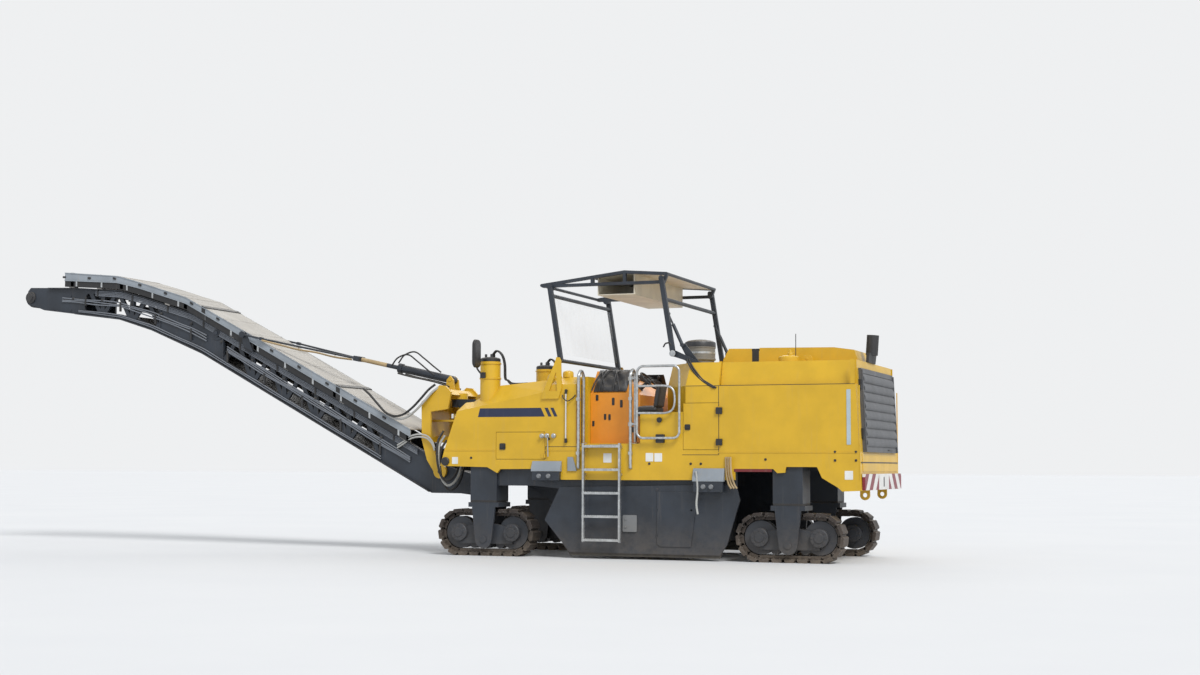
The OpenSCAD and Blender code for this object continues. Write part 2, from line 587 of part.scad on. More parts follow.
// Gates hinged on the rear handrails, hooked open at rest
gate_y = half_body + rail_d / 2 + 44;
gate_x0 = -124;
gate_x1 = -686;
gate_z0 = 1522;
gate_z1 = 2395;
module gate() {
    tube([[gate_x0, gate_y, gate_z0 + 60], [gate_x0, gate_y, gate_z1 - 60], [gate_x0 - 60, gate_y, gate_z1], [gate_x1 + 80, gate_y, gate_z1],
        [gate_x1 + 18, gate_y, gate_z1 - 60], [gate_x1 + 18, gate_y, gate_z0 + 60], [gate_x1 + 80, gate_y, gate_z0], [gate_x0 - 60, gate_y, gate_z0], [gate_x0, gate_y, gate_z0 + 60]], 34);
    tube([[gate_x0, gate_y, 2150], [-470, gate_y, 2150], [-560, gate_y, 2060], [-560, gate_y, 1900], [-470, gate_y, 1812], [gate_x0, gate_y, 1812]], 28);
    for (z = [1680, 2250]) difference() {
        union() {
            bar([gate_x0, gate_y, z], [-18, half_body + rail_d / 2 + fit, z], 26);
            translate([-18, half_body + rail_d / 2 + fit, z - 22]) cylinder(h = 44, d = rail_d + 24, $fn = fine);
        }
        translate([-18, half_body + rail_d / 2 + fit, z - 40]) cylinder(h = 80, d = rail_d + 2 * pin_clear, $fn = fine);
    }
}
module gate_left() color([0.62, 0.64, 0.65]) machine() gate();
module gate_right() color([0.62, 0.64, 0.65]) machine() mirror([0, 1, 0]) gate();

// Ladders under the entrances
ladder_x0 = 96;
ladder_x1 = 603;
ladder_y = half_body + 46;
rung_pitch = 292;
rung_z0 = 236;
rung_count = 5;
module ladders() color([0.62, 0.64, 0.65]) machine() both_sides() {
    for (x = [ladder_x0, ladder_x1 - 24]) block([x, ladder_y, rung_z0 - 25], [x + 24, ladder_y + 45, rung_z0 + (rung_count - 1) * rung_pitch + 40]);
    for (i = [0 : rung_count - 1]) block([ladder_x0, ladder_y - 5, rung_z0 + i * rung_pitch - 14], [ladder_x1, ladder_y + 50, rung_z0 + i * rung_pitch + 14]);
    for (x = [ladder_x0, ladder_x1 - 24], z = [1040, 1380]) block([x, half_body + fit, z], [x + 24, ladder_y + 5, z + 30]);
}

// Lamp and socket boxes on the side panels
module side_lamp_boxes() color([0.42, 0.44, 0.46]) machine() both_sides() {
    block([925, half_body + fit, 960], [1300, half_body + 66, 1225]);
    block([-1225, half_body + fit, 840], [-850, half_body + 66, 1140]);
}

// Mirror on an arm from the left lifting cylinder
module mirror_left() color([0.10, 0.10, 0.11]) machine() {
    block([2085, 1090, 2430], [2125, 1270, 2782]);
    tube([[2100, 1150, 2450], [2085, 1120, 2380], [half_wheelbase + 40, half_gauge + lift_cyl_d / 2 + 14, 2330]], 24);
    translate([half_wheelbase, half_gauge + lift_cyl_d / 2 + fit, 2290]) block([0, 0, 0], [80, 30, 80]);
}

// Legs that steer: fork, track frame and track loop
module fork_front_left() color([0.16, 0.18, 0.22]) machine() at_leg(1, 1) fork();
module fork_front_right() color([0.16, 0.18, 0.22]) machine() at_leg(1, -1) fork();
module fork_rear_left() color([0.16, 0.18, 0.22]) machine() at_leg(-1, 1) fork();
module fork_rear_right() color([0.16, 0.18, 0.22]) machine() at_leg(-1, -1) fork();
module track_frame_front_left() color([0.14, 0.16, 0.2]) machine() at_leg(1, 1) track_frame();
module track_frame_front_right() color([0.14, 0.16, 0.2]) machine() at_leg(1, -1) track_frame();
module track_frame_rear_left() color([0.14, 0.16, 0.2]) machine() at_leg(-1, 1) track_frame();
module track_frame_rear_right() color([0.14, 0.16, 0.2]) machine() at_leg(-1, -1) track_frame();
module track_front_left() color([0.2, 0.18, 0.17]) machine() at_leg(1, 1) track_loop();
module track_front_right() color([0.2, 0.18, 0.17]) machine() at_leg(1, -1) track_loop();
module track_rear_left() color([0.2, 0.18, 0.17]) machine() at_leg(-1, 1) track_loop();
module track_rear_right() color([0.2, 0.18, 0.17]) machine() at_leg(-1, -1) track_loop();

// Milling drum: shell, end rims and pick holders in a spiral
pick_count = 36;
pick_h = (drum_d - shell_d) / 2;
drum_left_y = drum_right_y + drum_w;
drum_axle_d = 160;
module milling_drum() color([0.3, 0.27, 0.25]) machine() {
    disc([drum_x, drum_z], shell_d / 2, drum_right_y, drum_left_y);
    disc([drum_x, drum_z], drum_axle_d / 2, drum_right_y - housing_play + fit, drum_left_y + housing_play - fit);
    for (i = [0 : pick_count - 1]) {
        y = drum_right_y + 30 + i * (drum_w - 60) / (pick_count - 1);
        translate([drum_x, y, drum_z]) rotate([0, i * 137.5, 0]) block([-25, -24, shell_d / 2 - 20], [25, 24, drum_d / 2 - 20]);
        translate([drum_x, y, drum_z]) rotate([0, i * 137.5, 0]) translate([0, 0, drum_d / 2 - 21]) cylinder(h = 21, d1 = 30, d2 = 8, $fn = 16);
    }
}

// Drum housing, open below and towards the primary conveyor
housing_play = 30;
housing_t = 30;
housing_rear = drum_x - 600;
housing_low = 170;
housing_top = beam_low - fit;
housing_right = drum_right_y - housing_play;
housing_left = drum_left_y + housing_play;
module drum_housing() color([0.14, 0.16, 0.2]) machine() {
    difference() {
        block([housing_rear, housing_right - housing_t, housing_low], [housing_front, housing_left + housing_t, housing_top]);
        block([housing_rear + housing_t, housing_right, housing_low - 1], [housing_front - housing_t, housing_left, housing_top - housing_t]);
        block([housing_front - housing_t - 1, -primary_w / 2 + primary_wall, 0], [housing_front + 1, housing_left - 20, 620]);
    }
    disc([drum_x, drum_z], 230, housing_left + housing_t - 1, housing_left + housing_t + 180);
}

// Side skirts beside the drum, on the aprons
skirt_t = 34;
skirt = [[1160, 475], [955, 890], [apron_rear_x, 940], [apron_rear_x - 50, 750], [-1250, 205], [-1160, 72], [815, 75]];
module side_skirts() color([0.14, 0.17, 0.23]) machine() both_sides() slab(skirt, apron_out + fit, apron_out + fit + skirt_t);

// Nose bracket that carries the mast on its vertical pin
slew_pin_d = 80;
eye_r = 110;
eye_t = 100;
bracket_low = 1560;
bracket_high = 2060;
bracket_out = 150;
bracket_t = 40;
bracket_side = [
    [nose_face_x(bracket_low) + fit, bracket_low], [slew_x - 50, bracket_low], [slew_x - 50, bracket_low + eye_t],
    [slew_x - 250, bracket_low + 200], [slew_x - 250, bracket_high - 200], [slew_x - 50, bracket_high - eye_t],
    [slew_x - 50, bracket_high], [nose_top.x + 20, bracket_high], [nose_face_x(1860) + fit, 1860]
];
// Slewing cylinder from the bracket to a lug on the mast
slew_arm = 200;
slew_base = [2480, slew_arm];
slew_cyl_z = 1830;
slew_rod_d = 50;
slew_eye_r = 42;
module nose_bracket() color([0.15, 0.17, 0.21]) machine() difference() {
    union() {
        both_sides() slab(bracket_side, bracket_out - bracket_t, bracket_out);
        for (z = [bracket_low, bracket_high - eye_t]) {
            translate([slew_x, 0, z]) cylinder(h = eye_t, r = eye_r, $fn = fine);
            block([nose_face_x(bracket_low) + 10, -bracket_out + 10, z + 20], [slew_x - 40, bracket_out - 10, z + eye_t - 20]);
        }
        block([slew_base.x - 50, bracket_out - 10, slew_cyl_z - 60], [slew_base.x, slew_base.y + 40, slew_cyl_z + 60]);
        bar([slew_base.x - 60, slew_base.y, slew_cyl_z], [slew_x - 200, slew_base.y, slew_cyl_z], 90);
    }
    translate([slew_x, 0, bracket_low - 1]) cylinder(h = bracket_high - bracket_low + 2, d = slew_pin_d + 2 * pin_clear, $fn = fine);
    bar([slew_base.x - 40, slew_base.y, slew_cyl_z], [slew_x, slew_base.y, slew_cyl_z], slew_rod_d + 2 * pin_clear);
}
module slew_rod() color([0.75, 0.76, 0.78]) machine() {
    bar([slew_base.x + 120, slew_base.y, slew_cyl_z], [slew_x - slew_eye_r / 2, slew_base.y, slew_cyl_z], slew_rod_d);
    translate([slew_x, slew_base.y, slew_cyl_z - 30]) cylinder(h = 60, r = slew_eye_r, $fn = fine);
}

// Mast: two C-shaped cheeks joined by plates, on the slewing pin
mast_in = mast_gap / 2;
lift_c = [lift_x, lift_z];
lift_pin_d = 60;
boom_pin = [lift_x + 30, 2335];
boom_pin_d = 50;
mast_cheek = [
    [2825, 2150], [2905, 2235], [2995, 2245], [3100, 2155], [3265, 2020], [3255, 1505], [3175, 1235], [lift_x + 75, lift_z - 30],
    [lift_x - 50, lift_z + 60], [3040, 1290], [3120, 1505], [3125, 1885], [3065, 1895], [2870, 1920]
];
module conveyor_mast() color([0.85, 0.64, 0.12]) machine() difference() {
    union() {
        both_sides() {
            slab(mast_cheek, mast_in, mast_in + cheek_t);
            disc(lift_c, 95, mast_in, mast_in + cheek_t);
            slab([[2935, 2120], [boom_pin.x - 50, boom_pin.y], [boom_pin.x, boom_pin.y + 55], [boom_pin.x + 50, boom_pin.y], [3085, 2120]], 62, 92);
            disc(boom_pin, boom_pin_d / 2, 0, 100);
        }
        slab([[2840, 2120], [2905, 2190], [2990, 2200], [3085, 2120], [3240, 1995], [3235, 1505], [3190, 1505], [3190, 1960], [3060, 2065 + eye_t / 2], [2840, 2065 + eye_t / 2]], -mast_in - 1, mast_in + 1);
        for (z = [bracket_low - gap - 80, bracket_high + gap]) {
            translate([slew_x, 0, z]) cylinder(h = 80, r = eye_r, $fn = fine);
            block([slew_x, -eye_r, z], [3215, eye_r, z + 80]);
        }
        block([3190, -mast_in - 1, bracket_low - gap - 80], [3235, mast_in + 1, 1700]);
        block([slew_x, slew_arm - 45, slew_cyl_z - 75], [3195, slew_arm + 45, slew_cyl_z - 50]);
        translate([slew_x, slew_arm, slew_cyl_z - 75]) cylinder(h = 25, r = 45, $fn = fine);
        translate([slew_x, 0, bracket_low - gap - 80]) cylinder(h = bracket_high - bracket_low + 2 * gap + 160, d = slew_pin_d, $fn = fine);
    }
    both_sides() disc(lift_c, lift_pin_d / 2 + pin_clear, mast_in - 1, mast_in + cheek_t + 1);
}

// Discharge conveyor outlines in X and Z: lower and upper edge of the side frames
frame_low = [[2390, 785], [3125, 790], [6795, 2745], [7680, 3110], [8270, 3290], [9640, 3466], [head_x + 40, head_z - 90]];
frame_top = [[head_x + 60, head_z + 100], [head_x + 10, head_z + 150], [9030, 3780], [8255, 3715], [7835, 3605], [7005, 3350], [3230, 1349], [3000, 1180], [2390, 1010]];
conveyor_out = conveyor_w / 2;
belt_path = [[2530, 905], [3200, 985], [6960, 3010], [7950, 3440], [head_x, head_z]];
// Outline of a band of constant half thickness along a path, with round ends
function band_side(p, r, s) = [for (i = [0 : len(p) - 1])
    let (a = i == 0 ? p[1] - p[0] : p[i] - p[i - 1], b = i == len(p) - 1 ? a : p[i + 1] - p[i],
        na = [-a.y, a.x] / norm(a), nb = [-b.y, b.x] / norm(b), n = (na + nb) / norm(na + nb)) p[i] + s * n * r / (n * na)];
function reversed(l) = [for (i = [len(l) - 1 : -1 : 0]) l[i]];
function heading(a, b) = atan2(b.y - a.y, b.x - a.x);
function band(p, r) = let (n = len(p) - 1, h0 = heading(p[0], p[1]), h1 = heading(p[n - 1], p[n]))
    concat(band_side(p, r, -1), arc(p[n], r, h1 - 80, h1 + 80, 32), reversed(band_side(p, r, 1)), arc(p[0], r, h0 + 100, h0 + 260, 32));
module conveyor_belt() color([0.09, 0.09, 0.1]) machine() across(-belt_w / 2, belt_w / 2) difference() {
    polygon(band(belt_path, belt_outer_r));
    polygon(band(belt_path, belt_r));
}
cover_x0 = 3420;
cover_out = 450;
lug_t = 24;
stay_r = 14;
stay_end = 330;
stay_eye = 45;
truss_x0 = 3900;
truss_x1 = 8580;
truss_pitch = 520;
// Heights of the side frame's edges at a place along the machine
function low_z(x) = lookup(x, frame_low);
function top_z(x) = lookup(x, reversed(frame_top));
stay_pin = [6087, 3005];
// Plates over the fold joint, from one place along the machine to another, with its round boss
fold_plate = [6480, 7560];
fold_boss = [6581, 3045];
fold_boss_r = 52;
module conveyor_frame() color([0.14, 0.16, 0.2]) machine() {
    both_sides() {
        across(conveyor_out - frame_t, conveyor_out) intersection() {
            polygon(concat(frame_low, frame_top));
            union() {
                chain(frame_low, 150);
                chain(frame_top, 150);
                polygon([[2300, 700], [3900, 700], [3900, 1900], [2300, 1500]]);
                polygon([[8900, 3200], [10400, 3400], [10400, 4000], [8900, 4000]]);
                polygon([[fold_plate[0], 2400], [fold_plate[1], 2400], [fold_plate[1], 4000], [fold_plate[0], 4000]]);
                for (x = [truss_x0 : truss_pitch : truss_x1]) {
                    strip([x, low_z(x)], [x + truss_pitch / 2, top_z(x + truss_pitch / 2)], 60);
                    strip([x + truss_pitch, low_z(x + truss_pitch)], [x + truss_pitch / 2, top_z(x + truss_pitch / 2)], 60);
                    strip([x, low_z(x)], [x, top_z(x)], 70);
                }
            }
        }
        disc(lift_c, lift_pin_d / 2, conveyor_out - 10, mast_in + cheek_t + 6);
        disc(lift_c, 80, conveyor_out - 1, mast_in - gap);
        disc(fold_boss, fold_boss_r, conveyor_out - 1, conveyor_out + 30);
        slab([[stay_pin.x - 170, stay_pin.y - 250], [stay_pin.x - 40, stay_pin.y + 30], [stay_pin.x + 40, stay_pin.y + 30], [stay_pin.x - 10, stay_pin.y - 170]], cover_out + gap, cover_out + gap + lug_t);
        slab([[stay_pin.x - 170, stay_pin.y - 250], [stay_pin.x - 120, stay_pin.y - 190], [stay_pin.x + 10, stay_pin.y - 180], [stay_pin.x - 60, stay_pin.y - 250]], conveyor_out - 1, cover_out + gap + 1);
    }
    for (p = [belt_path[0], [head_x, head_z]]) disc(p, belt_r - 1, -conveyor_out + frame_t - 1, conveyor_out - frame_t + 1);
    for (x = [truss_x0 : 2 * truss_pitch : truss_x1]) disc([x, lookup(x, belt_path)], 45, -conveyor_out + frame_t - 1, conveyor_out - frame_t + 1);
}

// Cover over the belt. Columns: place, lower edge, upper edge of its side
cover_wall = 8;
cover_table = [
    [cover_x0, 1470, 1650], [5900, 2785, 2965], [7080, 3405, 3575], [7900, 3655, 3825], [8270, 3745, 3925], [9213, 3810, 4010]
];
cover_feet = [3560, 4500, 5400, 6300, 7400, 8600, 9100];
// An edge of the cover's side: the table's column, raised, and drawn out past both ends
function cover_edge(column, rise, reach) = let (n = len(cover_table) - 1)
    [for (i = [0 : n]) [cover_table[i].x + reach * (i == 0 ? -1 : i == n ? 1 : 0), cover_table[i][column] + rise]];
function cover_low(x) = lookup(x, cover_edge(1, 0, 0));
module conveyor_cover() color([0.5, 0.49, 0.46]) machine() {
    difference() {
        slab(concat(cover_edge(1, 0, 0), reversed(cover_edge(2, 0, 0))), -cover_out, cover_out);
        slab(concat(cover_edge(1, -2 * cover_wall, 1), reversed(cover_edge(2, -cover_wall, 1))), -cover_out + cover_wall, cover_out - cover_wall);
    }
    for (x = cover_feet) both_sides() slab([
        [x - 40, top_z(x - 40) + fit], [x + 40, top_z(x + 40) + fit], [x + 40, cover_low(x + 40) + 14], [x - 40, cover_low(x - 40) + 14]
    ], conveyor_out - frame_t, cover_out - 1);
}

// Lifting boom: a cylinder on the mast, then a rod, a yoke and two stays
boom_angle = heading(boom_pin, stay_pin);
boom_l = norm(stay_pin - boom_pin);
barrel_l = 850;
yoke_at = 1490;
// Place of the rod's inner end, which stays in the barrel over the whole stroke
rod_from = 420;
stay_y = cover_out + 3 * gap + lug_t + stay_r;
module along_boom() translate([boom_pin.x, 0, boom_pin.y]) rotate([0, -boom_angle, 0]) children();
module boom_barrel() color([0.13, 0.15, 0.19]) machine() along_boom() difference() {
    union() {
        disc([0, 0], 48, -50, 50);
        rotate([0, 90, 0]) cylinder(h = barrel_l, d = 110, $fn = fine);
        translate([barrel_l - 60, 0, 0]) rotate([0, 90, 0]) cylinder(h = 60, d = 135, $fn = fine);
    }
    disc([0, 0], boom_pin_d / 2 + pin_clear, -60, 60);
    translate([120, 0, 0]) rotate([0, 90, 0]) cylinder(h = barrel_l, d = 60 + 2 * pin_clear, $fn = fine);
}
module boom_rod() color([0.75, 0.72, 0.62]) machine() along_boom() {
    translate([rod_from, 0, 0]) rotate([0, 90, 0]) cylinder(h = yoke_at - rod_from, d = 60, $fn = fine);
    block([yoke_at - 30, -90, -35], [yoke_at + 60, 90, 35]);
    both_sides() {
        bar([yoke_at + 20, 70, 0], [boom_l - stay_end, stay_y, 0], 2 * stay_r);
        bar([boom_l - stay_end, stay_y, 0], [boom_l - 40, stay_y, 0], 2 * stay_r);
        block([boom_l - stay_end - 26, stay_y - stay_r - 7, -stay_r - 7], [boom_l - stay_end + 26, stay_y + stay_r + 7, stay_r + 7]);
        disc([boom_l, 0], stay_eye, stay_y - 15, stay_y + 15);
    }
}

// Canopy: brackets on the body, posts on pivots and a roof frame that stays level
post_half = post_gauge / 2;
front_pivot = [970, 2500];
rear_pivot = [-542, 2560];
post_v = [post_dx, post_dz];
pivot_d = 36;
post_thick = 60;
module canopy_post(p) across(post_half - post_w / 2, post_half + post_w / 2) difference() {
    chain([p, p + post_v], post_thick);
    translate(p) circle(d = pivot_d + 2 * pin_clear, $fn = fine);
    translate(p + post_v) circle(d = pivot_d + 2 * pin_clear, $fn = fine);
}
plate_t = 24;
pin_in = post_half - post_w / 2 - 20;
cyl_base = rear_pivot + [-100, 109];
cyl_share = 0.53;
cyl_y = post_half - post_w / 2 - 40;
rear_plate_t = 14;
rear_plate_out = post_half - post_w / 2 - 3;
module canopy_front_brackets() color([0.85, 0.64, 0.12]) machine() both_sides() {
    across(half_body + fit, half_body + fit + plate_t) difference() {
        polygon([[1195, 2010], [1170, 2090], front_pivot + [35, -20], front_pivot + [15, 40], front_pivot + [-25, 35],
            front_pivot + [-45, -10], [915, 2140], [955, 2010]]);
        polygon([[1085, 2110], [990, 2350], [975, 2110]]);
    }
    disc(front_pivot, pivot_d / 2, pin_in, half_body + fit + plate_t);
}
module canopy_brackets() color([0.13, 0.15, 0.19]) machine() {
    both_sides() {
        slab([[-900, hood_z + fit], [-785, hood_z + fit], rear_pivot + [22, -30], rear_pivot + [32, 0], rear_pivot + [18, 32],
            rear_pivot + [-28, 38]], rear_plate_out - rear_plate_t, rear_plate_out);
        disc(rear_pivot, pivot_d / 2, rear_plate_out - rear_plate_t - 6, post_half + post_w / 2 + 8);
        slab([[-860, hood_z + fit], [-725, hood_z + fit], cyl_base + [25, -20], cyl_base + [25, 22], cyl_base + [-25, 22]], cyl_y - 54, cyl_y - 30);
        disc(cyl_base, 12, cyl_y - 54, cyl_y + 18);
    }
    bar([front_pivot.x, -pin_in + fit, front_pivot.y], [front_pivot.x, pin_in - fit, front_pivot.y], 50);
}
module canopy_front_posts() color([0.12, 0.14, 0.18]) machine() {
    both_sides() canopy_post(front_pivot);
    let (c = between(front_pivot, front_pivot + post_v, 0.88)) bar([c.x, -post_half, c.y], [c.x, post_half, c.y], 50);
}
module canopy_rear_posts() color([0.12, 0.14, 0.18]) machine() {
    both_sides() canopy_post(rear_pivot);
    let (c = between(rear_pivot, rear_pivot + post_v, 0.72)) bar([c.x, -post_half, c.y], [c.x, post_half, c.y], 50);
}
roof_half = roof_w / 2;
roof_bar = 40;
roof_front = [1258, 3480];
roof_ridge = [122, 3614];
roof_rear = [-441, 3572];
// Lower rails of the roof frame: rear end and front end
roof_rail = [[-400, 3470], [1240, 3470]];
roof_panel_x = 500;
tray = [[0, 3330], [roof_panel_x, 3330]];
panel_half = roof_half - 50 - fit;
panel_sheet = 12;
// Middle line of the roof's upper bars at a place along the machine
function roof_z(x) = lookup(x, [roof_rear, roof_ridge, roof_front]);
module canopy_roof() color([0.12, 0.14, 0.18]) machine() {
    both_sides() {
        across(roof_half - 50, roof_half) union() {
            chain(roof_rail, roof_bar);
            chain([roof_rail[1], roof_front, roof_ridge, roof_rear, roof_rail[0]], roof_bar);
            for (x = [roof_ridge.x, roof_panel_x + 60]) strip([x, roof_rail[0].y], [x, roof_z(x)], roof_bar);
            translate(front_pivot + post_v) circle(r = 45, $fn = fine);
            chain([rear_pivot + post_v, [rear_pivot.x + post_dx, roof_rail[0].y]], 60);
        }
        for (p = [front_pivot + post_v, rear_pivot + post_v]) disc(p, pivot_d / 2, roof_half - 10, post_half + post_w / 2 + 6);
    }
    for (x = [roof_front.x, roof_panel_x + 60, roof_rear.x])
        bar([x, -roof_half + 49, roof_z(x)], [x, roof_half - 49, roof_z(x)], roof_bar);
}
// Cream sheets of the roof, with the tray that hangs over the console
module canopy_panels() color([0.72, 0.68, 0.55]) machine() {
    slab([[roof_rear.x + roof_bar, roof_z(roof_rear.x + roof_bar)], roof_ridge, [roof_panel_x, roof_z(roof_panel_x)],
        [roof_panel_x, roof_z(roof_panel_x) - panel_sheet], roof_ridge - [0, panel_sheet],
        [roof_rear.x + roof_bar, roof_z(roof_rear.x + roof_bar) - panel_sheet]], -panel_half, panel_half);
    slab([tray[0], tray[1], tray[1] + [0, panel_sheet], tray[0] + [0, panel_sheet]], -panel_half, panel_half);
    for (x = [tray[0].x, tray[1].x - panel_sheet])
        slab([[x, tray[0].y + 1], [x + panel_sheet, tray[0].y + 1], [x + panel_sheet, roof_z(x) - 6], [x, roof_z(x) - 6]], -panel_half, panel_half);
}
glass_t = 8;
module canopy_windscreen() color([0.75, 0.82, 0.85, 0.35]) machine()
    across(-post_half + post_w / 2 + fit, post_half - post_w / 2 - fit) let (a = between(front_pivot, front_pivot + post_v, 0.09), b = between(front_pivot, front_pivot + post_v, 0.84)) strip(a, b, glass_t);

// Canopy cylinders beside the rear posts
cyl_top = between(rear_pivot, rear_pivot + post_v, cyl_share);
cyl_angle = heading(cyl_base, cyl_top);
cyl_l = norm(cyl_top - cyl_base);
cyl_d = 44;
cyl_rod_d = 22;
module along_canopy_cyl() translate([cyl_base.x, 0, cyl_base.y]) rotate([0, -cyl_angle, 0]) children();
module canopy_cylinders() color([0.12, 0.13, 0.16]) machine() along_canopy_cyl() both_sides() difference() {
    union() {
        disc([0, 0], 26, cyl_y - 18, cyl_y + 18);
        translate([0, cyl_y, 0]) rotate([0, 90, 0]) cylinder(h = 290, d = cyl_d, $fn = fine);
    }
    translate([60, cyl_y, 0]) rotate([0, 90, 0]) cylinder(h = 300, d = cyl_rod_d + 2 * pin_clear, $fn = fine);
    disc([0, 0], 12 + pin_clear, cyl_y - 30, cyl_y + 30);
}
module canopy_rods() color([0.75, 0.76, 0.78]) machine() along_canopy_cyl() both_sides() {
    translate([170, cyl_y, 0]) rotate([0, 90, 0]) cylinder(h = cyl_l - 170, d = cyl_rod_d, $fn = fine);
    disc([cyl_l, 0], 22, cyl_y - 16, cyl_y + 16);
}

chassis_frame();
front_body();
platform_floor();
rear_body();
engine_block();
radiator_block();
engine_hood();
rear_bumper();
rear_grille_door();
service_door_left();
service_door_right();
storage_door_left();
storage_door_right();
exhaust_stack();
air_cleaner();
control_console();
steering_wheels();
operator_seats();
handrails();
gate_left();
gate_right();
ladders();
side_lamp_boxes();
mirror_left();
leg_columns();
lift_cylinders();
fork_front_left();
fork_front_right();
fork_rear_left();
fork_rear_right();
track_frame_front_left();
track_frame_front_right();
track_frame_rear_left();
track_frame_rear_right();
track_front_left();
track_front_right();
track_rear_left();
track_rear_right();
milling_drum();
drum_housing();
side_skirts();
primary_conveyor();
nose_bracket();
slew_rod();
conveyor_mast();
conveyor_frame();
conveyor_belt();
conveyor_cover();
boom_barrel();
boom_rod();
canopy_brackets();
canopy_front_brackets();
canopy_front_posts();
canopy_rear_posts();
canopy_roof();
canopy_panels();
canopy_windscreen();
canopy_cylinders();
canopy_rods();
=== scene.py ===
"""Looks of a cold planer milling machine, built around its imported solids.

Lengths are metres. Positions in the classes are in the machine's own frame: X forward from the
middle between the tracks, Y left, Z up. `MACHINE_MIDDLE` shifts them into the frame of the model.
`SIDE_FACE` is the Y of the side panels' outer faces.
"""

import json
import logging
import math
from dataclasses import dataclass
from enum import Enum

import bmesh
import bpy
import numpy as np
from mathutils import Matrix

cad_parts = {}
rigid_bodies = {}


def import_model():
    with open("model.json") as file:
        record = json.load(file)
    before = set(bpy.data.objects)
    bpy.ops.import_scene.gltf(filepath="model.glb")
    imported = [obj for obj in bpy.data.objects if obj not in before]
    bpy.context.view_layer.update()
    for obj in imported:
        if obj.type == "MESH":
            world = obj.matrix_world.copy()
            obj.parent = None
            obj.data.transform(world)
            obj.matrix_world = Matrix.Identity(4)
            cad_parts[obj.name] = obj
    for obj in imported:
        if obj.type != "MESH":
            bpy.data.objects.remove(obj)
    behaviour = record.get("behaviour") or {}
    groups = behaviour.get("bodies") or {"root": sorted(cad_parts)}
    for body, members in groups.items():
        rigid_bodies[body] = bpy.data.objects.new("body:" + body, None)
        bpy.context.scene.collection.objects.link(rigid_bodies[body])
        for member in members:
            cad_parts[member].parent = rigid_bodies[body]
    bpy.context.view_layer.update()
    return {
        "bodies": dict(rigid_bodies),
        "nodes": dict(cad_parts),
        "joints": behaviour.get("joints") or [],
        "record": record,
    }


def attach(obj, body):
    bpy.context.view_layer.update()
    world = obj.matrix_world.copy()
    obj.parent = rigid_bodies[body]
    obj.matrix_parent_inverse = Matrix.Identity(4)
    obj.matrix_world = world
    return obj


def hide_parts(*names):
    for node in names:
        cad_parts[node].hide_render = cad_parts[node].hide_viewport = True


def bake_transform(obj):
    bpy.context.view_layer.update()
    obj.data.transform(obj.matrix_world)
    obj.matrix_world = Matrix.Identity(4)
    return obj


LOG = logging.getLogger("planer")
MACHINE_MIDDLE = 3.5335
SIDE_FACE = 1.147
GOLDEN_ANGLE = 137.5
CHIP_RADIUS = 0.007
DUST_ROUGHNESS = 0.9
TONE_ROUGHNESS = 0.18
COAT_ROUGHNESS = 0.15
RELIEF_DEPTH = 0.004
SHORTEST = 1e-12
AHEAD, ACROSS, UP = (1, 0, 0), (0, 1, 0), (0, 0, 1)
Colour = tuple[float, float, float]
Part = tuple[np.ndarray, list[tuple[int, ...]]]
Place = np.ndarray | list | tuple
Value = bpy.types.NodeSocket | float | tuple


class Half(Enum):
    """A half of the machine, whose value is the sign of a coordinate."""

    @property
    def word(self) -> str:
        """The half's name in lower case, as the nodes' names have it."""
        return self.name.lower()


class Side(Half):
    """Left or right half of the machine, with the sign of its Y."""

    LEFT = 1
    RIGHT = -1


class End(Half):
    """Front or rear pair of tracks, with the sign of its X."""

    FRONT = 1
    REAR = -1


# Surfaces


def vec(*values: float) -> np.ndarray:
    """A float array of the values."""
    return np.array(values, float)


def unit(v: np.ndarray) -> np.ndarray:
    """Vectors scaled to length one along the last axis."""
    return v / np.maximum(np.linalg.norm(v, axis=-1, keepdims=True), SHORTEST)


def lattice(points: np.ndarray, wrap_u: bool = False, wrap_v: bool = False,
            caps: bool = False) -> Part:
    """Quads between the neighbours of a grid of points.

    Point (i, j) joins (i+1, j), (i+1, j+1) and (i, j+1); a wrapped direction joins its last row to
    its first, and caps close the first and the last row with one face each.

    Args:
        points: Grid of shape (rows, columns, 3).
        wrap_u: Whether the rows close on themselves.
        wrap_v: Whether the columns close on themselves.
        caps: Whether the two end rows are filled.

    Returns:
        Vertices and faces.
    """
    rows, cols = points.shape[:2]
    i, j = np.meshgrid(np.arange(rows - (not wrap_u)), np.arange(cols - (not wrap_v)),
                       indexing="ij")
    i2, j2 = (i + 1) % rows, (j + 1) % cols
    quads = np.stack([i * cols + j, i2 * cols + j, i2 * cols + j2, i * cols + j2], -1).reshape(-1,
        4)
    faces = [tuple(q) for q in quads.tolist()]
    if caps:
        faces += [tuple(range(cols)), tuple(reversed(range((rows - 1) * cols, rows * cols)))]
    return points.reshape(-1, 3), faces


def smooth_path(points: list, steps: int = 6) -> np.ndarray:
    """Points on the Catmull-Rom curve through the given points.

    Between p1 and p2 the curve is the cubic whose end slopes are (p2-p0)/2 and (p3-p1)/2.

    Args:
        points: Route points.
        steps: Points made for each stretch.

    Returns:
        Array of shape (n, 3).
    """
    p = np.array(points, float)
    p = np.vstack([2 * p[0] - p[1], p, 2 * p[-1] - p[-2]])
    t = np.linspace(0, 1, steps, endpoint=False)[None, :, None]
    a, b, c, d = (p[k : len(p) - 3 + k, None] for k in range(4))
    curve = 0.5 * (2 * b + (c - a) * t + (2 * a - 5 * b + 4 * c - d) * t**2
                   + (3 * b - a - 3 * c + d) * t**3)
    return np.vstack([curve.reshape(-1, 3), p[-2]])


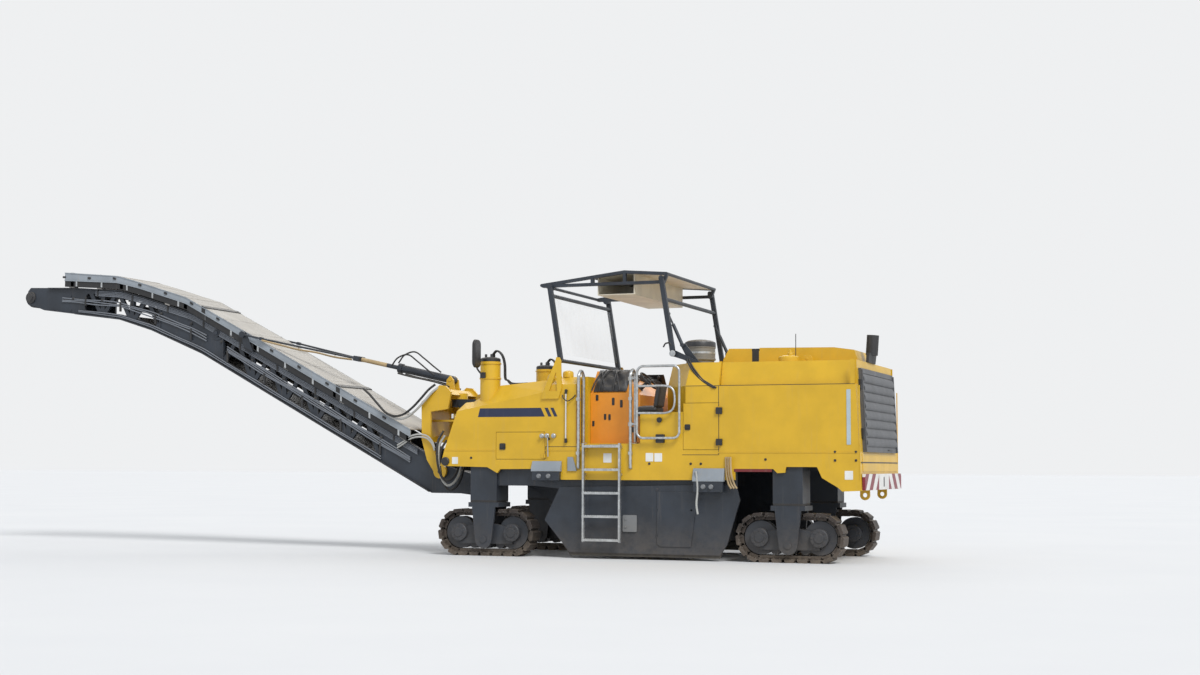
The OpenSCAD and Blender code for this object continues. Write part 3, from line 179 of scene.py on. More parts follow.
def hose(path: np.ndarray, radius: float, sides: int = 10, closed: bool = False) -> Part:
    """A round tube along a path.

    Each ring lies across the path's direction, turned by one fixed vector, the path's flattest one.

    Args:
        path: Points of the middle line, of shape (n, 3).
        radius: Radius of the tube.
        sides: Corners of each ring.
        closed: Whether the path ends where it begins.

    Returns:
        Vertices and faces.
    """
    path = np.asarray(path, float)
    if closed:
        slope = unit(np.roll(path, -1, 0) - np.roll(path, 1, 0))
    else:
        slope = unit(np.gradient(path, axis=0))
    flat = np.linalg.svd(path - path.mean(0))[2][-1]
    across = unit(np.cross(slope, flat))
    up = np.cross(slope, across)
    a = np.linspace(0, 2 * np.pi, sides, endpoint=False)[None, :, None]
    ring = path[:, None] + radius * (np.cos(a) * across[:, None] + np.sin(a) * up[:, None])
    return lattice(ring[:, ::-1], wrap_u=closed, wrap_v=True, caps=not closed)


def bent(points: list, radius: float, sides: int = 10) -> Part:
    """A round tube along the smooth curve through the points; see `hose`."""
    return hose(smooth_path(points), radius, sides)


def rod(start: Place, end: Place, radius: float, sides: int = 10, steps: int = 3) -> Part:
    """A straight round tube between two points, with a ring at each of its steps."""
    return hose(np.linspace(start, end, steps), radius, sides)


def turned(profile: list, base: Place, axis: Place, sides: int = 24) -> Part:
    """A turned shape: a profile of (radius, distance) carried round an axis.

    Args:
        profile: Pairs of radius and distance along the axis, first to last.
        base: Point on the axis at distance zero.
        axis: Direction of the axis.
        sides: Corners of each ring.

    Returns:
        Vertices and faces.
    """
    axis = unit(np.asarray(axis, float))
    first = unit(np.cross(axis, [0.31, 0.95, 0.11] if abs(axis[1]) < 0.9 else AHEAD))
    second = np.cross(axis, first)
    r, d = np.array(profile, float).T
    a = np.linspace(0, 2 * np.pi, sides, endpoint=False)
    ring = np.cos(a)[:, None] * first + np.sin(a)[:, None] * second
    grid = np.asarray(base, float) + d[:, None, None] * axis + r[:, None, None] * ring[None]
    verts, faces = lattice(grid, wrap_v=True, caps=True)
    return verts, [f[::-1] for f in faces]


def plate(outline: list, start: Place, across: Place, up: Place, depth: Place) -> Part:
    """A flat outline carried straight along a vector.

    Args:
        outline: Pairs (a, b); a corner lies at start + a*across + b*up.
        start: Place of (0, 0).
        across: Direction of the first number.
        up: Direction of the second number.
        depth: Vector that the outline is carried along.

    Returns:
        Vertices and faces.
    """
    o = np.array(outline, float)
    low = np.asarray(start, float) + o[:, :1] * np.asarray(across, float) + o[:,
        1:] * np.asarray(up, float)
    grid = np.stack([low, low + np.asarray(depth, float)])
    return lattice(grid, wrap_v=True, caps=True)


def upright(outline: list, start: Place, depth: float) -> Part:
    """An outline in X and Z, carried outwards along Y.

    Args:
        outline: Pairs (x, z), measured from the start.
        start: Place of (0, 0).
        depth: How far the outline is carried.

    Returns:
        Vertices and faces.
    """
    return plate(outline, start, AHEAD, UP, (0, depth, 0))


def tile(width: float, height: float, radius: float, start: Place, depth: float) -> Part:
    """An upright rectangle with round corners round its start, carried outwards along Y."""
    return upright(rounded(width, height, radius), start, depth)


def rounded(width: float, height: float, radius: float, steps: int = 4) -> list:
    """Corners of a rectangle round (0, 0) whose corners are arcs."""
    a = np.linspace(0, np.pi / 2, steps + 1)
    out = []
    for k, (sx, sy) in enumerate([(1, 1), (-1, 1), (-1, -1), (1, -1)]):
        turn = a + k * np.pi / 2
        out += list(zip(sx * (width / 2 - radius) + radius * np.cos(turn),
                        sy * (height / 2 - radius) + radius * np.sin(turn)))
    return out


def brick(low: Place, high: Place) -> Part:
    """A rectangular block between two corners."""
    low, high = np.minimum(low, high).astype(float), np.maximum(low, high).astype(float)
    size = high - low
    return plate([(0, 0), (size[0], 0), (size[0], size[1]), (0, size[1])], low, AHEAD, ACROSS,
                 [0, 0, size[2]])


def bolt(base: Place, axis: Place, radius: float = 0.012, height: float = 0.009) -> Part:
    """A hexagon bolt head with a washer under it."""
    return turned([(radius * 1.35, 0), (radius * 1.35, height * 0.2), (radius, height * 0.22),
                   (radius, height * 0.85), (radius * 0.85, height)], base, axis, 6)


def bolt_circle(centre: tuple, ring: float, turns: np.ndarray, axis: Place, radius: float) -> list:
    """Bolt heads at the given angles round a centre, all in one plane of X and Z."""
    x, y, z = centre
    return [bolt((x + ring * math.cos(a), y, z + ring * math.sin(a)), axis, radius)
            for a in turns.tolist()]


def gather(parts: list) -> Part:
    """Several parts as one list of vertices and faces."""
    verts, faces, start = [], [], 0
    for v, f in parts:
        verts.append(np.asarray(v, float))
        faces += [tuple(k + start for k in face) for face in f]
        start += len(v)
    return np.vstack(verts), faces


def mirrored(part: Part) -> Part:
    """The part on the other side of the machine, with its faces turned back outwards."""
    verts, faces = part
    return verts * [1, -1, 1], [f[::-1] for f in faces]


def on_side(part: Part, side: Side) -> Part:
    """The part itself on the left, or its mirror image on the right."""
    return part if side is Side.LEFT else mirrored(part)


def both(parts: list) -> list:
    """The parts and their mirror images."""
    return parts + [mirrored(p) for p in parts]


def ribbon(x: np.ndarray, low: np.ndarray, high: np.ndarray, y: float, thick: float) -> Part:
    """An upright strip along the machine, between a lower and an upper edge.

    Each place along it has four corners: (y, low), (y + thick, low), (y + thick, high), (y, high).

    Args:
        x: Places along the machine.
        low: Heights of the lower edge there.
        high: Heights of the upper edge there.
        y: Inner face.
        thick: Thickness outwards.

    Returns:
        Vertices and faces.
    """
    ring = [(y, low), (y + thick, low), (y + thick, high), (y, high)]
    grid = np.stack([np.stack([x, np.full_like(x, side), z], -1) for side, z in ring], 1)
    return lattice(grid, wrap_v=True, caps=True)


@dataclass(frozen=True)
class Between:
    """Two bodies with one joint, and where a piece that spans them leaves one and reaches the
    other.
    """

    first: str
    second: str
    start: tuple
    end: tuple


def piece(name: str, parts: list, material: bpy.types.Material, body: "str | Between",
          bevel: float = 0.0, angle: float = 35.0, replaces: tuple = ()) -> bpy.types.Object:
    """Puts parts into one object that rides on a body.

    Args:
        name: Name of the object.
        parts: Parts in the machine's frame.
        material: Its finish.
        body: Body that it moves with, or the two that it spans, in which case it stays in place on
            neither.
        bevel: Width of the rounding of its edges, or zero.
        angle: Edges sharper than this many degrees stay sharp in shading.
        replaces: CAD nodes that it stands for.

    Returns:
        The object.
    """
    verts, faces = gather(parts)
    mesh = bpy.data.meshes.new(name)
    mesh.from_pydata((verts - [MACHINE_MIDDLE, 0, 0]).tolist(), [], faces)
    mesh.validate()
    work = bmesh.new()
    work.from_mesh(mesh)
    bmesh.ops.recalc_face_normals(work, faces=work.faces)
    work.to_mesh(mesh)
    work.free()
    mesh.materials.append(material)
    obj = bpy.data.objects.new(name, mesh)
    bpy.context.scene.collection.objects.link(obj)
    mesh.shade_smooth()
    mesh.set_sharp_from_angle(angle=math.radians(angle))
    if bevel:
        mod = obj.modifiers.new("rounding", "BEVEL")
        mod.width, mod.segments, mod.limit_method = bevel, 2, "ANGLE"
        mod.angle_limit, mod.harden_normals = math.radians(angle), True
    if isinstance(body, Between):
        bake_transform(obj)
    else:
        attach(obj, body)
    if replaces:
        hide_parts(*replaces)
    LOG.info("%s: %d faces on %s", name, len(faces), body)
    return obj


# Finishes


class Tree:
    """A node tree that is filled by name."""

    def __init__(self, tree: bpy.types.NodeTree) -> None:
        self.tree = tree

    def add(self, kind: str, links: dict | None = None, **settings: object) -> bpy.types.Node:
        """Adds a node.

        Args:
            kind: Node type without the words ShaderNode.
            links: Input name or number to a socket or a value.
            settings: Properties of the node.

        Returns:
            The node.
        """
        node = self.tree.nodes.new(kind if kind.startswith("Node") else "ShaderNode" + kind)
        for key, value in settings.items():
            setattr(node, key, value)
        for key, value in (links or {}).items():
            self.put(node.inputs[key], value)
        return node

    def put(self, socket: bpy.types.NodeSocket, value: Value) -> None:
        """Links a socket to the input, or writes a value into it."""
        if isinstance(value, bpy.types.NodeSocket):
            self.tree.links.new(value, socket)
        elif isinstance(value, tuple) and len(value) == 3 and socket.type == "RGBA":
            socket.default_value = (*value, 1.0)
        else:
            socket.default_value = value

    def math(self, operation: str, a: Value, b: Value = 0.0,
             clamp: bool = False) -> bpy.types.NodeSocket:
        """The result of a Math node."""
        return self.add("Math", {0: a, 1: b, 2: 0.0}, operation=operation,
                        use_clamp=clamp).outputs[0]

    def ramp(self, value: Value, low: Value, high: float, to_low: float = 0.0,
             to_high: float = 1.0) -> bpy.types.NodeSocket:
        """A value carried from one range to another, smooth and clamped."""
        node = self.add("MapRange", {0: value, 1: low, 2: high, 3: to_low, 4: to_high},
                        interpolation_type="SMOOTHSTEP")
        return node.outputs[0]

    def mix(self, factor: Value, a: Value, b: Value) -> bpy.types.NodeSocket:
        """A colour between two colours."""
        node = self.add("Mix", data_type="RGBA")
        for number, value in ((0, factor), (6, a), (7, b)):
            self.put(node.inputs[number], value)
        return node.outputs[2]

    def noise(self, vector: Value, scale: float, detail: float = 3.0,
              roughness: float = 0.55) -> bpy.types.NodeSocket:
        """The value of a Noise Texture."""
        return self.add("TexNoise", {"Vector": vector, "Scale": scale, "Detail": detail,
                                     "Roughness": roughness}).outputs[0]

    def stretched(self, vector: Value, x: float, y: float, z: float) -> bpy.types.NodeSocket:
        """A vector with each part scaled."""
        return self.add("Mapping", {0: vector, "Scale": (x, y, z)}).outputs[0]

    def times(self, a: Value, b: Value) -> bpy.types.NodeSocket:
        """The product of two values."""
        return self.math("MULTIPLY", a, b)

    def plus(self, a: Value, b: Value, clamp: bool = False) -> bpy.types.NodeSocket:
        """The sum of two values."""
        return self.math("ADD", a, b, clamp=clamp)

    def at(self) -> bpy.types.NodeSocket:
        """The place on the object, in its own frame."""
        return self.add("TexCoord").outputs["Object"]

    def result(self, shader: bpy.types.Node, kind: str = "OutputMaterial") -> None:
        """Makes a shader node what the tree shows."""
        self.add(kind, {"Surface": shader.outputs[0]}).is_active_output = True


def empty_material(name: str) -> tuple[bpy.types.Material, Tree]:
    """A new material without nodes, and the helper that fills its tree."""
    mat = bpy.data.materials.new(name)
    mat.use_nodes = True
    mat.node_tree.nodes.clear()
    return mat, Tree(mat.node_tree)


def effect(name: str, inputs: dict, outputs: dict) -> tuple[bpy.types.NodeTree, Tree, dict, dict]:
    """Starts a shader node group with named inputs and outputs.

    Args:
        name: Name of the group.
        inputs: Input name to its default; a tuple makes a colour.
        outputs: Output name to "COLOR" or "FLOAT".

    Returns:
        The group, its tree helper, the input sockets and the output sockets to fill.
    """
    group = bpy.data.node_groups.new(name, "ShaderNodeTree")
    for key, value in inputs.items():
        kind = "NodeSocketColor" if isinstance(value, tuple) else "NodeSocketFloat"
        socket = group.interface.new_socket(key, in_out="INPUT", socket_type=kind)
        socket.default_value = (*value, 1.0) if isinstance(value, tuple) else value
    for key, kind in outputs.items():
        group.interface.new_socket(key, in_out="OUTPUT", socket_type="NodeSocketColor"
                                   if kind == "COLOR" else "NodeSocketFloat")
    tree = Tree(group)
    start, end = tree.add("NodeGroupInput"), tree.add("NodeGroupOutput")
    return group, tree, {k: start.outputs[k] for k in inputs}, {k: end.inputs[k] for k in outputs}


class Effects:
    """The shader groups that the finishes share."""

    def __init__(self) -> None:
        self.weather = self.make_weather()
        self.chips = self.make_chips()
        self.grain = self.make_grain()

    @staticmethod
    def make_weather() -> bpy.types.NodeTree:
        """Dust and run marks: near the ground, on faces that look up, and in streaks down the
        sides."""
        group, t, i, o = effect("weather", {"Paint": (0.5, 0.5, 0.5), "Dust": (0.3, 0.26, 0.2),
                                            "Mottle": 0.1, "Low Dust": 0.5, "Top Dust": 0.3,
                                            "Streaks": 0.2, "Height": 1.3},
                                {"Color": "COLOR", "Dustiness": "FLOAT"})
        at = t.at()
        parts = t.add("SeparateXYZ", {0: at}).outputs
        facing = t.add("SeparateXYZ", {0: t.add("NewGeometry").outputs["Normal"]}).outputs[2]
        cloud = t.noise(at, 1.6, 5.0, 0.6)
        fine = t.noise(at, 14.0, 4.0, 0.65)
        low = t.times(t.ramp(t.plus(parts[2], t.times(cloud, 0.7)), i["Height"], 0.0),
                      i["Low Dust"])
        low = t.times(low, t.ramp(fine, 0.28, 0.62, 0.45, 1.0))
        top = t.times(t.times(t.ramp(facing, 0.35, 0.95), t.ramp(fine, 0.3, 0.7, 0.3, 1.0)),
                      i["Top Dust"])
        runs = t.ramp(t.noise(t.stretched(at, 9.0, 9.0, 0.55), 2.2, 4.0, 0.6), 0.55, 0.78)
        runs = t.times(t.times(runs, t.ramp(facing, 0.5, 0.1)), i["Streaks"])
        dusty = t.math("MAXIMUM", t.math("MAXIMUM", low, top), runs, clamp=True)
        shade = t.ramp(t.noise(at, 3.1, 4.0), 0.3, 0.7, -1.0, 1.0)
        value = t.plus(1.0, t.times(shade, i["Mottle"]))
        varied = t.add("HueSaturation", {"Color": i["Paint"], "Value": value}).outputs[0]
        t.put(o["Color"], t.mix(dusty, varied, i["Dust"]))
        t.put(o["Dustiness"], dusty)
        return group

    @staticmethod
    def make_chips() -> bpy.types.NodeTree:
        """A mask of worn edges, where a rounded normal leaves the flat one, and of stray
        scratches."""
        group, t, i, o = effect("chips", {"Radius": 0.008, "Edges": 0.5, "Spots": 0.2},
                                {"Mask": "FLOAT"})
        at = t.at()
        flat = t.add("NewGeometry").outputs["Normal"]
        soft = t.add("Bevel", {"Radius": i["Radius"]}, samples=3).outputs[0]
        away = t.math("SUBTRACT", 1.0, t.add("VectorMath", {0: flat, 1: soft},
                                             operation="DOT_PRODUCT").outputs["Value"])
        edge = t.times(t.ramp(away, 0.03, 0.22), t.ramp(t.noise(at, 24.0, 4.0, 0.7), 0.42, 0.62))
        spot = t.ramp(t.noise(at, 60.0, 3.0, 0.6), 0.7, 0.76)
        spot = t.times(spot, t.ramp(t.noise(at, 3.0, 2.0), 0.5, 0.66))
        mask = t.math("MAXIMUM", t.times(edge, i["Edges"]), t.times(spot, i["Spots"]), clamp=True)
        t.put(o["Mask"], mask)
        return group

    @staticmethod
    def make_grain() -> bpy.types.NodeTree:
        """A fine relief of noise at one scale, with a coarser wave under it."""
        group, t, i, o = effect("grain", {"Scale": 200.0, "Wave": 6.0, "Share": 0.3},
                                {"Height": "FLOAT", "Tone": "FLOAT"})
        at = t.at()
        small = t.add("TexNoise", {"Vector": at, "Scale": i["Scale"], "Detail": 2.0}).outputs[0]
        wide = t.add("TexNoise", {"Vector": at, "Scale": i["Wave"], "Detail": 2.0}).outputs[0]
        t.put(o["Height"], t.plus(small, t.times(wide, i["Share"])))
        t.put(o["Tone"], wide)
        return group


@dataclass(frozen=True)
class Finish:
    """A weathered surface: paint or metal, its dust and its wear."""

    name: str
    colour: Colour
    roughness: float = 0.45
    metallic: float = 0.0
    dust: Colour = (0.33, 0.28, 0.21)
    mottle: float = 0.08
    low_dust: float = 0.5
    top_dust: float = 0.25
    streaks: float = 0.15
    dust_height: float = 1.3
    under: Colour = (0.09, 0.08, 0.075)
    edges: float = 0.5
    spots: float = 0.2
    grain: float = 180.0
    relief: float = 0.08
    wave: float = 6.0
    coat: float = 0.0
    sheen: float = 0.0

    def paint(self, t: Tree) -> bpy.types.NodeSocket | Colour:
        """The clean colour, which a patterned finish draws anew."""
        return self.colour

    def material(self, effects: Effects) -> bpy.types.Material:
        """Builds the material.

        Args:
            effects: The shared shader groups.

        Returns:
            The material, with dust over wear over paint.
        """
        mat, t = empty_material(self.name)
        chips = t.add("Group", node_tree=effects.chips)
        for key, value in (("Radius", CHIP_RADIUS), ("Edges", self.edges), ("Spots", self.spots)):
            t.put(chips.inputs[key], value)
        worn = t.mix(chips.outputs["Mask"], self.paint(t), self.under)
        weather = t.add("Group", node_tree=effects.weather)
        for key, value in (("Paint", worn), ("Dust", self.dust), ("Mottle", self.mottle),
                           ("Low Dust", self.low_dust), ("Top Dust", self.top_dust),
                           ("Streaks", self.streaks), ("Height", self.dust_height)):
            t.put(weather.inputs[key], value)
        grain = t.add("Group", node_tree=effects.grain)
        for key, value in (("Scale", self.grain), ("Wave", self.wave)):
            t.put(grain.inputs[key], value)
        dusty = weather.outputs["Dustiness"]
        rough = t.plus(self.roughness, t.times(dusty, DUST_ROUGHNESS - self.roughness))
        rough = t.plus(rough, t.times(t.math("SUBTRACT", grain.outputs["Tone"], 0.5),
                                      TONE_ROUGHNESS), clamp=True)
        bump = t.add("Bump", {"Strength": self.relief, "Distance": RELIEF_DEPTH,
                              "Height": grain.outputs["Height"]})
        shader = t.add("BsdfPrincipled", {"Base Color": weather.outputs["Color"],
                                          "Roughness": rough, "Normal": bump.outputs[0]})
        if self.metallic:
            t.put(shader.inputs["Metallic"], t.times(t.math("SUBTRACT", 1.0, dusty), self.metallic))
        shader.inputs["Coat Weight"].default_value = self.coat
        shader.inputs["Coat Roughness"].default_value = COAT_ROUGHNESS
        shader.inputs["Sheen Weight"].default_value = self.sheen
        t.result(shader)
        return mat


@dataclass(frozen=True)
class Stripes(Finish):
    """Slanted red and white bands, worked out from the place across the tail."""

    white: Colour = (0.72, 0.71, 0.68)
    band: float = 0.39
    lean: float = 1.0
    plain_half: float = 0.3

    def paint(self, t: Tree) -> bpy.types.NodeSocket:
        """Red and white by the fraction of (|y| + lean*z) / band, with a white middle."""
        parts = t.add("SeparateXYZ", {0: t.at()}).outputs
        place = t.plus(t.math("ABSOLUTE", parts[1]), t.times(parts[2], self.lean))
        share = t.math("FRACT", t.math("DIVIDE", place, self.band))
        striped = t.mix(t.math("GREATER_THAN", share, 0.5), self.colour, self.white)
        return t.mix(t.math("GREATER_THAN", t.math("ABSOLUTE", parts[1]), self.plain_half),
                     self.white, striped)


@dataclass(frozen=True)
class Galvanised(Finish):
    """Zinc with its pale crystal flakes."""

    flake: float = 38.0

    def paint(self, t: Tree) -> bpy.types.NodeSocket:
        """Flakes of a Voronoi pattern, each a little lighter or darker."""
        at = t.at()
        cell = t.add("TexVoronoi", {"Vector": at, "Scale": self.flake}).outputs["Color"]
        share = t.add("SeparateXYZ", {0: cell}).outputs[0]
        dark = tuple(c * 0.72 for c in self.colour)
        return t.mix(share, dark, self.colour)


@dataclass(frozen=True)
class ClearSheet:
    """Scratched clear plastic sheet."""

    name: str
    colour: Colour
    roughness: float
    alpha: float

    def material(self, effects: Effects) -> bpy.types.Material:
        """Builds the material, a thin see-through sheet with dust on it."""
        mat, t = empty_material(self.name)
        at = t.at()
        dust = t.ramp(t.noise(t.stretched(at, 1.0, 1.0, 0.3), 4.0, 6.0, 0.7), 0.35, 0.75)
        alpha = t.plus(self.alpha, t.times(dust, 0.05), clamp=True)
        shader = t.add("BsdfPrincipled", {"Base Color": self.colour, "Alpha": alpha,
                                          "Roughness": t.plus(self.roughness, t.times(dust, 0.3))})
        shader.inputs["IOR"].default_value = 1.5
        t.result(shader)
        return mat


@dataclass(frozen=True)
class Lens:
    """A coloured lamp lens with ribs moulded in."""

    name: str
    colour: Colour
    ribs: float = 120.0

    def material(self, effects: Effects) -> bpy.types.Material:
        """Builds the material: a wave over the face gives the ribs."""
        mat, t = empty_material(self.name)
        at = t.at()
        wave = t.add("TexWave", {"Vector": at, "Scale": self.ribs, "Distortion": 0.2}).outputs[1]
        bump = t.add("Bump", {"Strength": 0.5, "Distance": 0.002, "Height": wave})
        tone = t.mix(t.noise(at, 40.0), tuple(c * 0.7 for c in self.colour), self.colour)
        shader = t.add("BsdfPrincipled", {"Base Color": tone, "Roughness": 0.18,
                                          "Normal": bump.outputs[0]})
        shader.inputs["Coat Weight"].default_value = 0.6
        t.result(shader)
        return mat


DUSTY_BROWN: Colour = (0.24, 0.19, 0.14)
# The orange finish is painted shade: the body's yellow paint as it looks in shadow, given to the
# control console.
FINISHES = [Finish("yellow_paint", (0.64, 0.385, 0.015), 0.42, low_dust=0.42, top_dust=0.1,
                   streaks=0.14, mottle=0.06, under=(0.16, 0.13, 0.1), edges=0.45, spots=0.25,
                   dust=(0.4, 0.3, 0.16), coat=0.12), Finish("orange_paint", (0.74, 0.27, 0.014),
                       0.42, low_dust=0.0, top_dust=0.2, streaks=0.12, mottle=0.06, coat=0.2),
            Finish("dark_paint", (0.022, 0.028, 0.038), 0.48, low_dust=0.62, top_dust=0.4,
                   streaks=0.2, dust=(0.16, 0.135, 0.11), dust_height=1.0, under=(0.14, 0.1, 0.08),
                   edges=0.6, mottle=0.2), Finish("grille_paint", (0.085, 0.088, 0.095), 0.5,
                       low_dust=0.2, top_dust=0.55, streaks=0.25, dust=(0.26, 0.24, 0.21)),
            Finish("box_grey", (0.2, 0.21, 0.22), 0.5, low_dust=0.3, top_dust=0.4, streaks=0.25,
                   metallic=0.3), Stripes("stripe_paint", (0.2, 0.018, 0.03), 0.42, low_dust=0.5,
                                          top_dust=0.3, streaks=0.3, mottle=0.08),
            Galvanised("galvanised", (0.55, 0.57, 0.58), 0.38, metallic=0.85, low_dust=0.35,
                       top_dust=0.15, streaks=0.15, edges=0.0, spots=0.1),
            Finish("bright_rod", (0.78, 0.78, 0.77), 0.14, metallic=1.0, low_dust=0.1,
                   top_dust=0.15, streaks=0.1, edges=0.0, spots=0.05, relief=0.02),
            Finish("tan_rod", (0.4, 0.29, 0.15), 0.5, low_dust=0.0, top_dust=0.3, streaks=0.3,
                   mottle=0.2), Finish("iron", (0.05, 0.05, 0.052), 0.6, metallic=0.5, low_dust=0.4,
                                       top_dust=0.5, streaks=0.3, mottle=0.2, relief=0.3),
            Finish("track_steel", (0.055, 0.045, 0.04), 0.55, metallic=0.6, dust=DUSTY_BROWN,
                   low_dust=0.8, top_dust=0.45, streaks=0.1, dust_height=0.9,
                   under=(0.35, 0.33, 0.31), edges=0.9, spots=0.4, mottle=0.3, relief=0.35,
                   grain=90.0), Finish("black_rubber", (0.018, 0.018, 0.019), 0.6, low_dust=0.3,
                                       top_dust=0.35, streaks=0.1, edges=0.0, spots=0.0, relief=0.2,
                                       grain=300.0), Finish("grey_hose", (0.42, 0.42, 0.4), 0.55,
                                           low_dust=0.1, top_dust=0.3, streaks=0.1, edges=0.0,
                                           spots=0.0, relief=0.2, grain=300.0),
            Finish("grey_plastic", (0.36, 0.34, 0.31), 0.62, low_dust=0.0, top_dust=0.45,
                   streaks=0.35, mottle=0.12, dust=(0.5, 0.46, 0.39), under=(0.2, 0.19, 0.18),
                   edges=0.3, relief=0.25, grain=60.0, wave=2.5),
            Finish("cleaner_grey", (0.19, 0.18, 0.16), 0.5, low_dust=0.0, top_dust=0.5,
                   streaks=0.2), Finish("cleaner_cap", (0.035, 0.036, 0.04), 0.42, low_dust=0.0,
                                        top_dust=0.5, streaks=0.1),
            Finish("rail_grey", (0.27, 0.3, 0.33), 0.5, low_dust=0.0, top_dust=0.3, streaks=0.35,
                   # The lines' grey is a painted highlight: black hoses shown lighter and bluish,
                   # as lit by the sun.
                   mottle=0.1, edges=0.4), Finish("line_grey", (0.15, 0.165, 0.19), 0.38,
                       low_dust=0.0, top_dust=0.35, streaks=0.1, edges=0.0, spots=0.0),
            Finish("reflector", (0.42, 0.5, 0.53), 0.3, low_dust=0.1, top_dust=0.1, streaks=0.2,
                   edges=0.1), Finish("stripe_blue", (0.012, 0.02, 0.055), 0.4, low_dust=0.0,
                                      top_dust=0.1, streaks=0.1, edges=0.2, coat=0.1),
            Finish("stripe_maroon", (0.16, 0.018, 0.02), 0.45, low_dust=0.3, top_dust=0.1,
                   streaks=0.2, edges=0.2), Finish("cream_panel", (0.66, 0.6, 0.47), 0.5,
                       low_dust=0.0, top_dust=0.35, streaks=0.25, mottle=0.08),
            Finish("black_vinyl", (0.022, 0.022, 0.024), 0.45, low_dust=0.0, top_dust=0.2,
                   streaks=0.0, edges=0.0, spots=0.0, relief=0.35, grain=420.0, sheen=0.15),
            Finish("black_plastic", (0.02, 0.02, 0.021), 0.5, low_dust=0.2, top_dust=0.2,
                   streaks=0.05, edges=0.2), Finish("white_plate", (0.74, 0.74, 0.71), 0.4,
                       low_dust=0.2, top_dust=0.1, streaks=0.3, edges=0.1),
            Finish("tool_steel", (0.34, 0.31, 0.28), 0.42, metallic=0.8, dust=DUSTY_BROWN,
                   low_dust=0.5, top_dust=0.3, streaks=0.0, mottle=0.2),
            ClearSheet("clear_glass", (0.86, 0.89, 0.9), 0.08, 0.06),
            Lens("clear_lens", (0.62, 0.64, 0.66)),]


# Sub-assemblies


@dataclass
class Shop:
    """What every sub-assembly needs: the finished materials by name."""

    materials: dict[str, bpy.types.Material]

    def make(self, name: str, parts: list, finish: str, body: "str | Between",
             bevel: float = 0.0, angle: float = 35.0, replaces: tuple = ()) -> bpy.types.Object:
        """One piece with a finish chosen by name; see `piece` for the arguments."""
        return piece(name, parts, self.materials[finish], body, bevel, angle, replaces)


@dataclass
class Studio:
    """Camera, floor, lamps and world."""

    eye: tuple = (-10.7665, 21.055, 1.1555)
    yaw: float = 20.979
    pitch: float = 4.349
    roll: float = 0.191
    lens: float = 50.81
    sensor: float = 36.0
    sight: float = 900.0
    floor_half: float = 260.0
    background: Colour = (0.86, 0.87, 0.88)
    fill: float = 0.62
    suns: tuple = (("key", 2.3, 22.0, (-38, -26, 18)), ("back", 0.7, 40.0, (52, 18, 0)))

    def build(self) -> None:
        """Makes the camera first, then everything that lights the machine."""
        self.camera()
        self.floor()
        self.lamps()
        self.world()

    def camera(self) -> None:
        """A camera that looks along the yaw and pitch that the photograph was taken at."""
        yaw, pitch, roll = (math.radians(a) for a in (self.yaw, self.pitch, self.roll))
        ahead = vec(math.sin(yaw) * math.cos(pitch), -math.cos(yaw) * math.cos(pitch),
                    math.sin(pitch))
        right = unit(np.cross(ahead, UP))
        up = np.cross(right, ahead)
        right, up = (math.cos(roll) * right + math.sin(roll) * up,
                     math.cos(roll) * up - math.sin(roll) * right)
        data = bpy.data.cameras.new("camera")
        data.lens, data.sensor_width, data.clip_end = self.lens, self.sensor, self.sight
        cam = bpy.data.objects.new("camera", data)
        matrix = np.eye(4)
        matrix[:3, 0], matrix[:3, 1], matrix[:3, 2], matrix[:3, 3] = right, up, -ahead, self.eye
        cam.matrix_world = Matrix(matrix.tolist())
        bpy.context.scene.collection.objects.link(cam)
        bpy.context.scene.camera = cam

    def floor(self) -> None:
        """A pale floor whose tone meets the background far away."""
        h = self.floor_half
        mesh = bpy.data.meshes.new("floor")
        mesh.from_pydata([(-h, -h, 0), (h, -h, 0), (h, h, 0), (-h, h, 0)], [], [(0, 1, 2, 3)])
        floor = bpy.data.objects.new("floor", mesh)
        bpy.context.scene.collection.objects.link(floor)
        mat = bpy.data.materials.new("floor_concrete")
        mat.use_nodes = True
        t = Tree(mat.node_tree)
        shader = mat.node_tree.nodes["Principled BSDF"]
        at = t.at()
        t.put(shader.inputs["Base Color"], t.mix(t.noise(at, 0.35, 5.0), (0.66, 0.665, 0.67),
            (0.72, 0.72, 0.715)))
        shader.inputs["Roughness"].default_value = 0.85
        shader.inputs["Specular IOR Level"].default_value = 0.2
        mesh.materials.append(mat)

    def lamps(self) -> None:
        """A broad key from the front left and above, and a weak one from behind."""
        for name, energy, angle, turn in self.suns:
            data = bpy.data.lights.new(name, "SUN")
            data.energy, data.angle = energy, math.radians(angle)
            lamp = bpy.data.objects.new(name, data)
            lamp.rotation_euler = [math.radians(a) for a in turn]
            bpy.context.scene.collection.objects.link(lamp)

    def world(self) -> None:
        """A pale background for camera, gloss and glass, and a softer fill for the rest."""
        world = bpy.data.worlds.new("studio")
        bpy.context.scene.world = world
        world.use_nodes = True
        world.node_tree.nodes.clear()
        t = Tree(world.node_tree)
        ray = t.add("LightPath").outputs
        seen = t.math("MAXIMUM", t.math("MAXIMUM", ray["Is Camera Ray"], ray["Is Glossy Ray"]),
                      ray["Is Transmission Ray"])
        fill = t.add("Background", {"Color": (0.9, 0.94, 1.0), "Strength": self.fill})
        pale = t.add("Background", {"Color": self.background, "Strength": 1.0})
        mix = t.add("MixShader", {0: seen, 1: fill.outputs[0], 2: pale.outputs[0]})
        t.result(mix, "OutputWorld")


